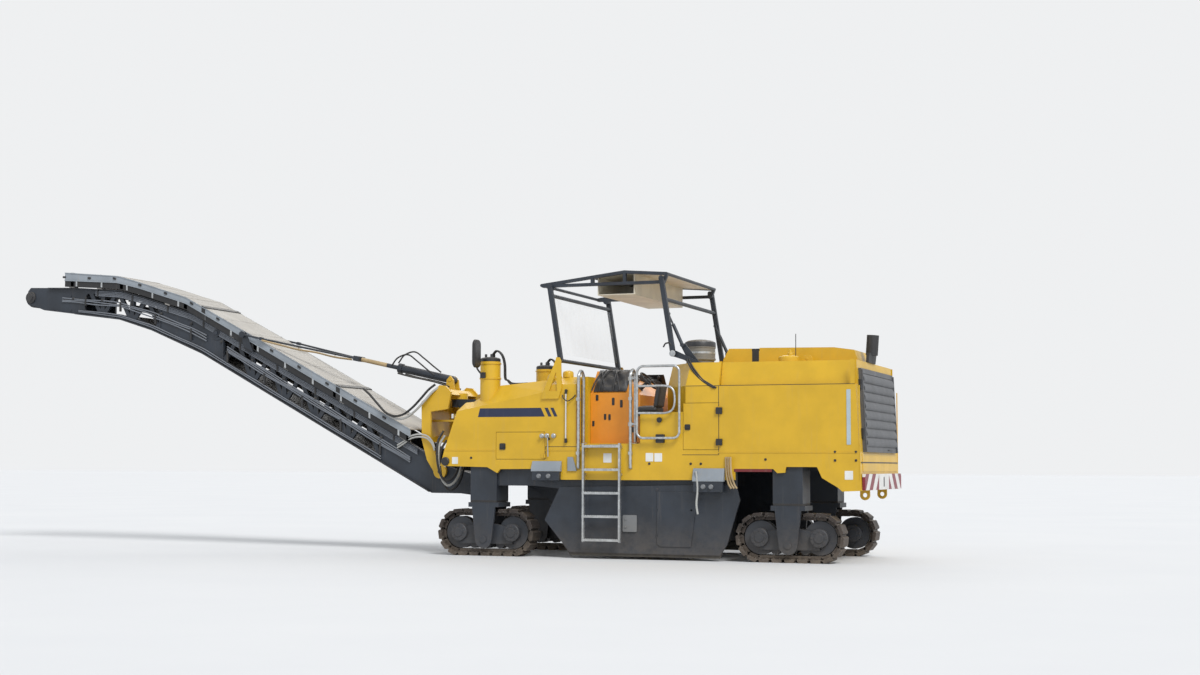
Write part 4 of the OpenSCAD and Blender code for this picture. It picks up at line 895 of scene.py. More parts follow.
@dataclass
class Undercarriage:
    """Track chains, the wheels' bolted hubs and the wipers round the columns."""

    half_wheelbase: float = 2.015
    half_gauge: float = 0.928
    radius: float = 0.3
    flat: float = 0.74
    shoe_count: int = 21
    shoe_width: float = 0.26
    pad: float = 0.034
    chain_half: float = 0.062
    fill: float = 0.38
    hub_radius: float = 0.112
    hub_face: float = 0.134
    hub_bolts: int = 8
    bolt_ring: float = 0.085
    wiper_half: float = 0.184
    wiper_thick: float = 0.01
    wiper_z: tuple = (0.69, 0.7135)

    def place(self, s: np.ndarray, depth: float) -> tuple[np.ndarray, np.ndarray]:
        """Points on the loop and the directions along it.

        The loop is two straight runs and two half circles; s starts under the middle.

        Args:
            s: Distances along the loop.
            depth: How far inside the shoes' faces.

        Returns:
            Points (n, 2) in X and Z round the track's middle, and unit directions (n, 2).
        """
        turn = math.pi * self.radius
        s = np.mod(s, 2 * self.flat + 2 * turn)
        r = self.radius - depth
        a = (s - self.flat / 2) / self.radius
        b = (s - 1.5 * self.flat - turn) / self.radius
        spots = [s < self.flat / 2, s < self.flat / 2 + turn, s < 1.5 * self.flat + turn,
                 s < 1.5 * self.flat + 2 * turn]
        x = np.select(spots, [s, self.flat / 2 + r * np.sin(a), self.flat + turn - s,
                              -self.flat / 2 - r * np.sin(b)], s - 2 * self.flat - 2 * turn)
        z = np.select(spots, [0 * s - r, -r * np.cos(a), 0 * s + r, r * np.cos(b)], -r)
        head = np.select(spots, [0 * s, a, 0 * s + math.pi, math.pi + b], 2 * math.pi)
        return np.stack([x, z], -1), np.stack([np.cos(head), np.sin(head)], -1)

    def shoe(self) -> Part:
        """One shoe: X along the chain, Y across, Z into the loop from the pad's face."""
        w, p = self.shoe_width / 2, self.pad
        pitch = (2 * self.flat + 2 * math.pi * self.radius) / self.shoe_count
        h = pitch * self.fill
        pad = upright([(-h + 0.012, 0), (h - 0.012, 0), (h, 0.014), (h, p), (-h, p), (-h, 0.014)],
                      [0, -w, 0], 2 * w)
        rib = upright([(-h - 0.012, p), (h + 0.012, p), (h + 0.006, p + 0.012),
                       (-h - 0.006, p + 0.012)], [0, -w + 0.006, 0], 2 * w - 0.012)
        links = [upright([(-h - 0.03, p + 0.014), (h + 0.006, p + 0.012), (h + 0.03, p + 0.03),
                          (h + 0.012, p + 0.052), (-h - 0.006, p + 0.052), (-h - 0.03, p + 0.04)],
                         [0, y - 0.009, 0], 0.018) for y in (-self.chain_half, self.chain_half)]
        pin = turned([(0.014, 0), (0.014, 2 * self.chain_half + 0.04)],
                     [-pitch / 2, -self.chain_half - 0.02, p + 0.035], ACROSS, 8)
        bolts = [bolt([x, y, p + 0.01], UP, 0.01, 0.012) for x in (-0.035, 0.035)
                 for y in (-0.098, 0.098)]
        return gather([pad, rib, *links, pin, *bolts])

    def track(self, end: End, side: Side) -> Part:
        """All shoes of a track: a vertex goes to point + x*direction + y*across + z*inwards."""
        length = 2 * self.flat + 2 * math.pi * self.radius
        spot, ahead = self.place(np.arange(self.shoe_count) * length / self.shoe_count, 0.0)
        verts, faces = self.shoe()
        inwards = np.stack([-ahead[:, 1], ahead[:, 0]], -1)
        xz = spot[:, None] + verts[None, :, :1] * ahead[:, None] + verts[None, :, 2:] * inwards[:,
            None]
        y = np.broadcast_to(verts[None, :, 1], xz.shape[:2])
        middle = vec(end.value * self.half_wheelbase, side.value * self.half_gauge, self.radius)
        out = np.stack([xz[..., 0], y, xz[..., 1]], -1) + middle
        count = len(verts)
        return out.reshape(-1, 3), [tuple(k + i * count for k in f)[::-1]
                                    for i in range(self.shoe_count) for f in faces]

    def hubs(self, end: End, side: Side) -> list:
        """Bolted covers on both faces of a track's two wheels."""
        parts = []
        x0, y0 = end.value * self.half_wheelbase, side.value * self.half_gauge
        for face in (1, -1):
            y = y0 + face * self.hub_face
            out = [0, face, 0]
            for x in (x0 - self.flat / 2, x0 + self.flat / 2):
                parts.append(turned([(self.hub_radius, -0.01), (self.hub_radius, 0.006),
                                     (self.hub_radius * 0.94, 0.012),
                                     (self.hub_radius * 0.55, 0.014),
                                     (self.hub_radius * 0.5, 0.024), (0.0, 0.026)],
                                    [x, y, self.radius], out, 32))
                turns = np.arange(self.hub_bolts) * 2 * np.pi / self.hub_bolts
                parts += bolt_circle((x, y + face * 0.012, self.radius), self.bolt_ring, turns, out,
                                     0.009)
        return parts

    def build(self, shop: Shop) -> None:
        """Makes the loops and hubs of the four tracks, and a square wiper round each column."""
        for end in End:
            for side in Side:
                where = f"{end.word}_{side.word}"
                shop.make(f"track_chain_{where}", [self.track(end, side)], "track_steel",
                          f"leg_{where}", 0.0025, replaces=(f"track_{where}",))
                shop.make(f"wheel_hubs_{where}", self.hubs(end, side), "dark_paint", f"leg_{where}",
                          0.001)
        rings = []
        low, high = self.wiper_z
        for x in (self.half_wheelbase, -self.half_wheelbase):
            y, h, t = self.half_gauge, self.wiper_half, self.wiper_thick
            for a, b in (((x - h, y - h), (x + h, y - h + t)), ((x - h, y + h - t), (x + h, y + h)),
                         ((x - h, y - h + t), (x - h + t, y + h - t)),
                         ((x + h - t, y - h + t), (x + h, y + h - t))):
                rings.append(brick((*a, low), (*b, high)))
        shop.make("column_wipers", both(rings), "black_rubber", "chassis")


@dataclass
class BodyTrim:
    """Seams, beads, hinges, latches, bolts, fittings and small plates on the side panels."""

    face: float = SIDE_FACE
    seam: float = 0.007
    bead: float = 0.014
    crease: float = 1.356
    hinge_x: float = -1.165
    hinge_z: tuple = (1.455, 1.84)

    def strip(self, a: tuple, b: tuple, width: float, thick: float = 0.004) -> Part:
        """A flat strip on the side panel between two points (x, z)."""
        a, b = vec(*a), vec(*b)
        along = unit(b - a)
        n = vec(-along[1], along[0]) * width / 2
        corners = [a - n, b - n, b + n, a + n]
        return upright([tuple(c) for c in corners], [0, self.face, 0], thick)

    def seams(self) -> list:
        """Dark grooves between the panels, drawn as strips that stand 0.6 mm proud."""
        runs = [((-0.735, 2.148), (-2.85, 2.148)), ((-1.16, 1.3), (-1.16, 2.143)),
                ((-0.69, 1.3), (-1.16, 1.3)), ((0.648, 1.4), (0.648, 2.185)),
                ((0.648, 1.402), (1.14, 1.402)), ((1.14, 1.245), (1.14, 1.402))]
        return [self.strip(a, b, self.seam, 0.0006) for a, b in runs]

    def crease_bead(self) -> list:
        """The rolled edges: up the tail's corner, along the crease and along the rear panel."""
        runs = [((-2.905, 1.0), (-2.905, 2.13)), ((1.84, self.crease), (2.56, self.crease)),
                ((0.66, self.crease), (1.142, self.crease)), ((-1.15, 1.33), (-2.88, 1.33))]
        return [self.strip(a, b, self.bead, 0.005) for a, b in runs]

    def hinges(self) -> list:
        """Black hinge boxes of the service door."""
        return [tile(0.078, 0.082, 0.008, (self.hinge_x - 0.004, self.face, z), 0.03)
                for z in self.hinge_z]

    def latch(self, x: float, z: float, size: float) -> list:
        """A square paddle latch: a frame, a dished plate and its lever."""
        s = size
        return [tile(s, s, 0.012, [x, self.face, z], 0.01),
                tile(s * 0.78, s * 0.78, 0.01, [x, self.face + 0.01, z], 0.004),
                tile(s * 0.5, s * 0.3, 0.006, [x, self.face + 0.014, z - s * 0.1], 0.01)]

    def bolts(self) -> list:
        """Bolt heads on the tail corner, the sill and the canopy brackets."""
        spots = [(x, z) for x in (-2.606, -2.859) for z in (1.336, 1.235)]
        spots += [(-0.93, 1.19), (-0.26, 1.19), (1.09, 1.5), (-0.8, 1.19), (-1.75, 1.245),
                  (2.18, 1.26)]
        return [bolt([x, self.face, z], ACROSS, 0.013, 0.01) for x, z in spots]

    def reflectors(self) -> list:
        """The long pale strip beside the grille."""
        return [tile(0.05, 0.66, 0.008, [-2.775, self.face, 1.752], 0.006)]

    def plates(self) -> list:
        """Bare marking plates: small, generic and blank."""
        spots = [(2.41, 1.225, 0.085), (-2.772, 1.059, 0.1), (-0.263, 1.27, 0.1),
                 (-0.378, 1.268, 0.1), (0.295, 1.26, 0.11)]
        return [tile(s, s * 1.05, 0.006, [x, self.face, z], 0.003) for x, z, s in spots]

    def band(self) -> list:
        """The plain dark band on the front panel, which ends in slanted slashes."""
        low, high = 1.785, 1.897
        outlines = [[(1.15, low), (2.087, low), (2.06, high), (1.205, high)]]
        for x in (0.975, 1.055):
            outlines.append([(x, low), (x + 0.045, low), (x + 0.1, high), (x + 0.055, high)])
        return [upright(o, (0, self.face, 0), 0.0012) for o in outlines]

    def fittings(self) -> dict:
        """The front panel's lamp, plugs with their rod, strut and bracket."""
        y = self.face
        lamp = [turned([(0.056, 0), (0.056, 0.022), (0.046, 0.03), (0.0, 0.03)], (2.545, y, 1.213),
                       ACROSS, 28)]
        plugs = [turned([(0.03, 0), (0.03, 0.03), (0.02, 0.036), (0.02, 0.055), (0, 0.057)],
                        (x, y, 1.54), ACROSS, 18) for x in (1.18, 1.11, 1.02)]
        plugs.append(rod((1.1, y + 0.025, 1.545), (1.092, y + 0.025, 1.275), 0.008, 8, 5))
        strut = [rod((0.852, y + 0.022, 1.5), (0.852, y + 0.022, 2.08), 0.011, 10)]
        ends = [turned([(0.018, 0), (0.018, 0.05), (0.012, 0.058)], (0.852, y + 0.022, z), UP, 14)
                for z in (1.45, 2.07)]
        ends += [turned([(0.016, 0), (0.016, 0.03)], (0.852, y, z), ACROSS, 12)
                 for z in (1.47, 2.11)]
        ends.append(bent([(0.906, y + 0.012, 2.056), (0.88, y + 0.03, 2.01),
                          (0.823, y + 0.036, 1.979), (0.765, y + 0.03, 2.01),
                          (0.728, y + 0.012, 2.054)], 0.007, 8))
        bracket = [upright([(0.705, 1.096), (0.829, 1.096), (0.829, 1.272), (0.76, 1.272)],
                           (0, y, 0), 0.02)]
        return {"panel_lamp": (lamp, "black_plastic"), "panel_plugs": (plugs, "galvanised"),
                "panel_strut": (strut, "bright_rod"), "strut_ends": (ends, "black_plastic"),
                "panel_bracket": (bracket, "rail_grey")}

    def rear_fittings(self) -> dict:
        """The rear panel's chains, the gate's rest with its knob and the sill's strip."""
        y = self.face
        links = [bent([(x, y + 0.016 + 0.02 * k, 1.274), (x - 0.01, y + 0.022 + 0.02 * k, 1.08),
                       (x - 0.035, y + 0.024, 0.95), (x - 0.07, y + 0.02, 0.89)], 0.013, 8)
                 for k, x in enumerate((-1.255, -1.29, -1.325))]
        rest = [tile(0.105, 0.107, 0.012, (-0.413, y, 1.5), 0.055)]
        knob = [turned([(0.022, 0), (0.022, 0.012), (0.034, 0.02), (0.034, 0.034), (0.0, 0.042)],
                       (-0.4, y, 1.731), ACROSS, 20)]
        strip = [upright([(-1.83, 1.094), (-1.352, 1.094), (-1.352, 1.128), (-1.83, 1.128)],
                         (0, y - 0.001, 0), 0.003)]
        return {"hanging_chain": (links, "tan_rod"), "gate_rest": (rest + knob, "black_plastic"),
                "sill_strip": (strip, "stripe_maroon")}

    def build(self, shop: Shop) -> None:
        """Makes the trim of both sides."""
        shop.make("side_band", both(self.band()), "stripe_blue", "chassis")
        for name, (parts, finish) in {**self.fittings(), **self.rear_fittings()}.items():
            shop.make(name, both(parts), finish, "chassis", 0.001)
        shop.make("panel_seams_front", both(self.seams()[3:]), "black_plastic", "chassis")
        shop.make("panel_seams_rear", both(self.seams()[:3]), "black_plastic", "chassis")
        shop.make("panel_beads", both(self.crease_bead()), "yellow_paint", "chassis",
                  0.002)
        shop.make("hinge_boxes", both(self.hinges()), "black_plastic", "chassis",
                  0.002)
        shop.make("panel_bolts", both(self.bolts()), "black_plastic", "chassis")
        shop.make("reflector_strips", both(self.reflectors()), "reflector", "chassis",
                  0.001)
        shop.make("marking_plates", both(self.plates()), "white_plate", "chassis",
                  0.0005)
        for side in Side:
            for door, place in (("storage", (1.735, 1.405, 0.082)),
                                ("service", (-0.76, 1.64, 0.07))):
                latch = [on_side(p, side) for p in self.latch(*place)]
                shop.make(f"{door}_latch_{side.word}", latch, "black_plastic",
                          f"{door}_door_{side.word}", 0.0015)


@dataclass
class Tail:
    """Grille slats, the door's rims, handle and hinges, and the plates of the tail."""

    half: float = 0.905
    low: float = 1.405
    high: float = 2.285
    count: int = 8
    foot_x: float = -2.924
    foot_z: float = 0.875
    lean: float = 0.0487

    def face_x(self, z: float) -> float:
        """Place of the leaning tail face at a height."""
        return self.foot_x + self.lean * (z - self.foot_z)

    def leaf(self, z0: float, z1: float, inner: float, outer: float) -> list:
        """Outline along the leaning face, between two heights and two distances from it."""
        return [(self.face_x(z) + o, z)
                for z, o in ((z0, inner), (z1, inner), (z1, outer), (z0, outer))]

    def slats(self) -> list:
        """Curved slats, each rounded over and folded back, carried across the door."""
        pitch = (self.high - self.low) / self.count
        a = np.linspace(0, 1, 9)
        out = -0.036 - 0.03 * np.sin(a * math.pi) ** 0.6 * (0.35 + 0.65 * (1 - a))
        up = a * pitch * 0.96
        loop_out = np.concatenate([out, out[::-1] + 0.004])
        loop_up = np.concatenate([up, up[::-1]])
        parts = []
        for k in range(self.count):
            z = self.low + k * pitch
            outline = [(self.face_x(z + u) + o, z + u) for o, u in zip(loop_out, loop_up)]
            parts.append(upright(outline, [0, -self.half, 0], 2 * self.half))
        return parts

    def frame(self) -> list:
        """A raised rim along each side of the slats."""
        return [upright(self.leaf(1.34, 2.33, -0.034, -0.052), (0, y - 0.012, 0), 0.03)
                for y in (-0.945, 0.935)]

    def build(self, shop: Shop) -> None:
        """Makes the grille's pieces, and the plates on the tail below and beside it."""
        body = "grille_door"
        shop.make("grille_slats", self.slats(), "grille_paint", body, 0.0)
        shop.make("grille_rim", self.frame(), "grille_paint", body, 0.003)
        x = self.face_x(1.37) + 0.03
        handle = [bent([(x - 0.062, -0.62, 1.37), (x - 0.08, -0.61, 1.37), (x - 0.084, -0.56, 1.37),
                        (x - 0.084, -0.44, 1.37), (x - 0.08, -0.39, 1.37),
                        (x - 0.062, -0.38, 1.37)], 0.006)]
        shop.make("grille_handle", handle, "black_plastic", body)
        hinge = [brick((self.face_x(z) - 0.03, 0.955, z - 0.06),
                       (self.face_x(z) + 0.012, 0.992, z + 0.06)) for z in (1.56, 2.15)]
        shop.make("grille_hinges", hinge, "black_plastic", body, 0.003)
        lower = upright(self.leaf(1.1, 1.32, 0.004, -0.006), (0, -1.02, 0), 2.04)
        shop.make("tail_plate", [lower], "yellow_paint", "chassis", 0.002)
        cover = [brick((-2.85, 1.1475, 2.15), (-2.8, 1.1505, 2.443))]
        shop.make("hood_end_strip", both(cover), "yellow_paint", "chassis")
        line = upright(self.leaf(1.204, 1.218, -0.004, -0.009), (0, -1.1, 0), 2.2)
        shop.make("tail_line", [line], "black_plastic", "chassis")
        slot = [plate(rounded(0.06, 0.125, 0.02), (-2.96, 0.0, 0.975), ACROSS, UP, (-0.0006, 0, 0))]
        shop.make("bumper_slot", slot, "black_plastic", "chassis")


@dataclass
class HoodTrim:
    """The hood's domed cap, aerial and lifting lugs, and a black block across the hump that paints
    the shade inside its gap.
    """

    top: float = 2.443

    def build(self, shop: Shop) -> None:
        """Makes what sits on the hood."""
        x, y = -1.96, 0.82
        cap = [turned([(0.126, 0), (0.126, 0.052), (0.114, 0.066), (0.07, 0.076), (0.0, 0.08)],
                      (x, y, self.top + 0.002), UP, 40), turned([(0.034, 0), (0.034, 0.03),
                          (0.022, 0.036), (0.018, 0.07), (0.0, 0.072)],
                          (x - 0.02, y, self.top + 0.076), UP, 20)]
        shop.make("hood_cap", cap, "yellow_paint", "hood", 0.002)
        aerial = [rod((-2.048, y, 2.48), (-2.05, y, 2.787), 0.005, 8, 5),
                  turned([(0.016, 0), (0.012, 0.03), (0.0, 0.034)], (-2.048, y, 2.47), UP, 14)]
        shop.make("aerial", aerial, "black_plastic", "hood")
        # A black block paints the shade inside the gap across the hump.
        strip = [brick((-1.493, -0.5015, 2.444), (-1.404, 0.5015, 2.6385))]
        shop.make("hump_gap", strip, "black_plastic", "hood")
        a = np.linspace(0, np.pi, 14)
        lug = list(zip((0.076 * np.cos(a)).tolist(), (0.03
            + 0.062 * np.sin(a)).tolist())) + [(-0.076, 0.0), (0.076, 0.0)]
        lugs = [upright(lug, (-2.153, 0.66, self.top), 0.022),
                turned([(0.018, 0), (0.018, 0.034), (0, 0.036)], (-2.153, 0.652, self.top + 0.045),
                       ACROSS, 18)]
        shop.make("hood_lugs", both(lugs), "yellow_paint", "hood", 0.002)


@dataclass
class Cleaner:
    """Air cleaner: body, domed cap with a rolled rim and fins under it, and band clamp."""

    x: float = -0.71
    y: float = 0.47
    base: float = 2.4435
    radius: float = 0.199
    height: float = 0.328

    def build(self, shop: Shop) -> None:
        """Replaces the plain air cleaner."""
        r, h = self.radius, self.height
        low = [(r * 0.88, 0), (r * 0.9, 0.05), (r * 0.96, 0.06), (r, 0.064), (r, 0.082),
               (r * 0.965, 0.086), (r * 0.965, h - 0.115), (r, h - 0.112), (r, h - 0.1),
               (r * 0.9, h - 0.095), (0, h - 0.095)]
        cap = [(0, h - 0.098), (r * 0.985, h - 0.098), (r, h - 0.094), (r, h - 0.052),
               (r * 0.97, h - 0.036), (r * 0.8, h - 0.018), (r * 0.45, h - 0.005),
               (r * 0.16, h - 0.001), (0, h)]
        at = (self.x, self.y, self.base)
        shop.make("cleaner_body", [turned(low, at, UP, 56)], "cleaner_grey", "chassis",
                  0.0, 30.0, ("air_cleaner",))
        ring = np.linspace(0, 2 * np.pi, 20, endpoint=False).tolist()
        fins = [brick((self.x + r * 0.955 * math.cos(a) - 0.006,
                       self.y + r * 0.955 * math.sin(a) - 0.006, self.base + h - 0.112),
                      (self.x + r * 0.955 * math.cos(a) + 0.006,
                       self.y + r * 0.955 * math.sin(a) + 0.006, self.base + h - 0.09))
                for a in ring]
        shop.make("cleaner_cap", [turned(cap, at, UP, 56)] + fins, "cleaner_cap", "chassis",
                  0.0, 30.0)
        clamp = [turned([(r * 0.985, 0.14), (r * 0.985, 0.166)], at, UP, 56),
                 brick((self.x - 0.02, self.y + r * 0.96, self.base + 0.138),
                       (self.x + 0.02, self.y + r, self.base + 0.168))]
        shop.make("cleaner_clamp", clamp, "galvanised", "chassis", 0.001)


@dataclass
class Platform:
    """Seats, steering wheels, instruments, the console's covers and the ladder's teeth."""

    seat_y: float = 0.905
    post_y: float = 0.9
    weld_gap: float = 0.0008
    rim: float = 0.136
    panel_lean: float = 46.25
    rungs: int = 5
    rung_low: float = 0.236
    rung_step: float = 0.292

    def cushion(self, centre: tuple, size: tuple, along: tuple, across: tuple,
                crown: float) -> Part:
        """A crowned closed pad: a rounded box whose top and sides swell with (1-u^4)(1-v^4).

        Args:
            centre: Middle of the pad.
            size: Length, width and thickness.
            along: Direction of the length.
            across: Direction of the width.
            crown: How far the top stands up in the middle.

        Returns:
            Vertices and faces.
        """
        along, across = unit(vec(*along)), unit(vec(*across))
        up = np.cross(along, across)
        n = 26
        u = np.linspace(-1, 1, n)
        uu, vv = np.meshgrid(u, u, indexing="ij")
        pinch = 1 - 0.035 * (uu**2 * vv**2) ** 2
        edge = np.clip(1 - np.maximum(np.abs(uu), np.abs(vv)) ** 6, 0, 1) ** 0.5
        channel = 0.01 * np.exp(-((np.abs(uu) - 0.62) / 0.035) ** 2)
        top = size[2] / 2 * edge + crown * (1 - uu**4) * (1 - vv**4) - channel * edge
        x, y = uu * size[0] / 2 * pinch, vv * size[1] / 2 * pinch
        base = np.asarray(centre, float)
        upper = base + x[..., None] * along + y[..., None] * across + top[..., None] * up
        lower = base + x[..., None] * along + y[..., None] * across - (size[2] / 2 * edge)[...,
            None] * up
        a, fa = lattice(upper)
        b, fb = lattice(lower)
        return gather([(a, fa), (b, [f[::-1] for f in fb])])

    def seat(self, side: Side) -> tuple[list, list]:
        """Pads and the frame of one seat."""
        s = side.value
        pads = [self.cushion((-0.185, s * self.seat_y, 1.862), (0.27, 0.325, 0.085), AHEAD, ACROSS,
                             0.012), self.cushion((-0.322, s * self.seat_y, 2.035),
                                 (0.285, 0.3, 0.062), (0.17, 0, -0.985), ACROSS, 0.01)]
        frame = [turned([(0.055, 0), (0.055, 0.1), (0.042, 0.105), (0.042, 0.3), (0.075, 0.312),
                         (0.075, 0.345)], (-0.2, s * self.post_y, 1.441), UP, 28),
                 brick((-0.325, s * self.post_y - 0.15, 1.786),
                       (-0.055, s * self.post_y + 0.15, 1.816)),
                 turned([(0.11, 0), (0.11, 0.012), (0.06, 0.03)], (-0.2, s * self.post_y, 1.441),
                        UP, 28)]
        return pads, frame

    def wheel(self, side: Side) -> list:
        """A steering wheel and its column, square to the console's sloping panel."""
        foot = vec(0.0504, side.value * 0.6, 2.144)
        lean = math.radians(self.panel_lean)
        axis = vec(-math.sin(lean), 0, math.cos(lean))
        u, v = vec(math.cos(lean), 0, math.sin(lean)), vec(0, 1, 0)
        centre = foot + 0.153 * axis
        a = np.linspace(0, 2 * np.pi, 48, endpoint=False)[:, None]
        ring = hose(centre + self.rim * (np.cos(a) * u + np.sin(a) * v), 0.0135, 10, True)
        spokes = [rod(centre, centre + 0.132 * (math.cos(k) * u + math.sin(k) * v), 0.008, 8)
                  for k in (0.5, math.pi - 0.5, 1.5 * math.pi)]
        column = turned([(0.04, 0.0), (0.026, 0.012), (0.022, 0.12), (0.038, 0.134), (0.038, 0.158),
                         (0.028, 0.166), (0, 0.168)], foot, axis, 28)
        return [ring, *spokes, column]

    def instruments(self) -> list:
        """Switch boxes, levers and display housings on the console's sloping top."""
        slope = unit(vec(0.422, 0, 0.184))
        up = vec(-slope[2], 0, slope[0])
        parts = []
        for y, w, d in ((0.6, 0.26, 0.17), (0.22, 0.18, 0.15), (-0.22, 0.18, 0.15),
                        (-0.6, 0.26, 0.17)):
            base = vec(0.3, y, 2.287)
            parts.append(plate(rounded(w, d, 0.02), base, ACROSS, -slope, up * 0.045))
            a = np.linspace(-1, 1, 4)
            parts += [turned([(0.011, 0), (0.011, 0.012), (0.008, 0.018), (0, 0.019)],
                             base + up * 0.045 + slope * 0.04 * r + vec(0, k * w * 0.36, 0), up, 12)
                      for k in a.tolist() for r in (-1, 1)]
        for y in (0.44, -0.44):
            base = vec(0.21, y, 2.246)
            parts.append(rod(base, base + up * 0.1, 0.006, 8))
            parts.append(turned([(0.0, 0.095), (0.016, 0.1), (0.02, 0.115), (0.016, 0.13),
                                 (0, 0.135)], base, up, 16))
        return parts

    def doors(self) -> list:
        """Slots, latches and hinges on the console's outer cheeks."""
        y = 0.85
        spots = [(0.55, 2.03, 0.035, 0.075), (0.6, 1.7, 0.03, 0.07), (0.33, 1.98, 0.035, 0.095),
                 (0.22, 1.95, 0.035, 0.095), (0.38, 1.78, 0.03, 0.075), (0.44, 1.785, 0.03, 0.075),
                 (0.06, 1.62, 0.03, 0.07)]
        return [tile(w, h, 0.008, (x, y, z), 0.006) for x, z, w, h in spots]

    def heap(self, side: Side) -> list:
        """The rolled-up instrument cover on the console's shoulder and the cables over it."""
        x = np.linspace(0.15, 0.6, 30)
        s = np.linspace(0.0, 1.0, 18)
        px, ps = np.meshgrid(x, s, indexing="ij")
        swell = (0.032 + 0.014 * np.sin(17 * px + 5 * ps) * np.cos(9 * ps)
                 + 0.01 * np.sin(31 * px - 11 * ps + 1.0))
        edge = np.clip(8 * np.minimum(ps, 1 - ps), 0, 1) * np.clip(20 * np.minimum(px - x[0],
            x[-1] - px) + 0.15, 0, 1)
        rise = 0.003 + np.clip(swell, 0.006, 1) * edge
        base_y, base_z = 0.855 - 0.245 * ps, 2.105 + 0.288 * ps
        top = np.stack([px, base_y + 0.76 * rise, base_z + 0.65 * rise], -1)
        under = np.stack([px, base_y + 0 * rise, base_z + 0 * rise], -1)[:, ::-1]
        parts = [lattice(np.concatenate([top, under], 1), wrap_v=True, caps=True)]
        for a, b, c in ((0.24, 0.36, 0.05), (0.33, 0.3, 0.062), (0.44, 0.55, 0.055),
                        (0.52, 0.42, 0.066), (0.62, 0.5, 0.048)):
            way = [(a + (b - a) * t, 0.85 - 0.22 * t + c * 0.76 * math.sin(math.pi * t) + 0.012,
                    2.12 + 0.27 * t + c * math.sin(math.pi * t))
                   for t in (0.0, 0.2, 0.45, 0.7, 1.0)]
            parts.append(bent(way, 0.0095, 8))
        return [on_side(part, side) for part in parts]

    def treads(self) -> list:
        """Pressed rows of teeth on the ladder's rungs and a serrated step plate at the top."""
        parts = [brick((0.1, 1.15, 1.405), (0.6, 1.196, 1.419))]
        parts += [upright([(0, 0), (0.01, 0.012), (0.02, 0)], (x, 1.15, 1.419), 0.046)
                  for x in np.linspace(0.105, 0.37, 12).tolist()]
        for k in range(self.rungs):
            z = self.rung_low + k * self.rung_step + 0.014
            for row in (1.206, 1.226):
                parts += [turned([(0.008, 0), (0.006, 0.004), (0.004, 0.0045)], (x, row, z), UP, 8)
                          for x in np.linspace(0.14, 0.56, 14).tolist()]
        return parts

    def build(self, shop: Shop) -> None:
        """Makes the platform's pieces."""
        for side in Side:
            pads, frame = self.seat(side)
            for name, part in zip(("seat_cushion", "seat_back"), pads):
                obj = shop.make(f"{name}_{side.word}", [part], "black_vinyl", "chassis",
                                0.0, 60.0, ("operator_seats",))
                weld(obj, self.weld_gap)
            shop.make(f"seat_frame_{side.word}", frame, "dark_paint", "chassis",
                      0.003, 35.0, ("operator_seats",))
            shop.make(f"console_heap_{side.word}", self.heap(side), "black_vinyl", "chassis",
                      0.0, 60.0)
            shop.make(f"steering_wheel_{side.word}", self.wheel(side), "black_plastic", "chassis",
                      0.0, 35.0, ("steering_wheels",))
        shop.make("instruments", self.instruments(), "black_plastic", "chassis",
                  0.002)
        shop.make("console_fittings", both(self.doors()), "black_plastic", "chassis",
                  0.0015)
        shop.make("rung_teeth", both(self.treads()), "galvanised", "chassis")


def weld(obj: bpy.types.Object, distance: float) -> None:
    """Merges vertices closer than a distance and turns the faces outwards."""
    work = bmesh.new()
    work.from_mesh(obj.data)
    bmesh.ops.remove_doubles(work, verts=work.verts, dist=distance)
    bmesh.ops.recalc_face_normals(work, faces=work.faces)
    work.to_mesh(obj.data)
    work.free()
    obj.data.shade_smooth()


@dataclass
class DrumPicks:
    """The drum and its round picks in welded holders, in a spiral of golden angles."""

    x: float = -0.15
    z: float = 0.585
    right: float = -0.96
    width: float = 1.3
    shell: float = 0.38
    margin: float = 0.028
    count: int = 84

    def holder(self) -> Part:
        """One holder and its pick: X along the drum's turn, Y across, Z outwards."""
        block = upright([(-0.045, -0.012), (0.04, -0.012), (0.034, 0.03), (0.01, 0.058),
                         (-0.022, 0.052), (-0.045, 0.02)], [0, -0.024, 0], 0.048)
        shank = turned([(0.019, 0), (0.019, 0.012), (0.014, 0.018), (0.011, 0.036), (0.006, 0.05),
                        (0.0, 0.056)], [-0.012, 0, 0.044], [-0.62, 0, 0.78], 12)
        return gather([block, shank])

    def build(self, shop: Shop) -> None:
        """Replaces the drum: each holder is turned by the golden angle from the one beside it."""
        k = np.arange(self.count)
        y = self.right + self.margin + k * (self.width - 2 * self.margin) / (self.count - 1)
        a = k * np.radians(GOLDEN_ANGLE)
        out = np.stack([np.sin(a), 0 * a, np.cos(a)], -1)
        turn = np.stack([np.cos(a), 0 * a, -np.sin(a)], -1)
        verts, faces = self.holder()
        place = (vec(self.x, 0, self.z) + out * self.shell + y[:, None] * vec(0, 1, 0))[:, None]
        pts = place + verts[None, :, :1] * turn[:, None] + verts[None, :, 1:2] * vec(0, 1,
            0) + verts[None, :, 2:] * out[:, None]
        many = [tuple(i + n * len(verts) for i in f) for n in range(self.count) for f in faces]
        drum = turned([(0.08, -0.026), (0.08, 0.0), (0.36, 0.0), (self.shell, 0.012),
                       (self.shell, self.width - 0.012), (0.36, self.width), (0.08, self.width),
                       (0.08, self.width + 0.026)], (self.x, self.right, self.z), ACROSS, 72)
        shop.make("milling_drum_body", [drum], "iron", "drum", 0.0, 30.0, ("milling_drum",))
        shop.make("picks", [(pts.reshape(-1, 3), many)], "tool_steel", "drum", 0.0)


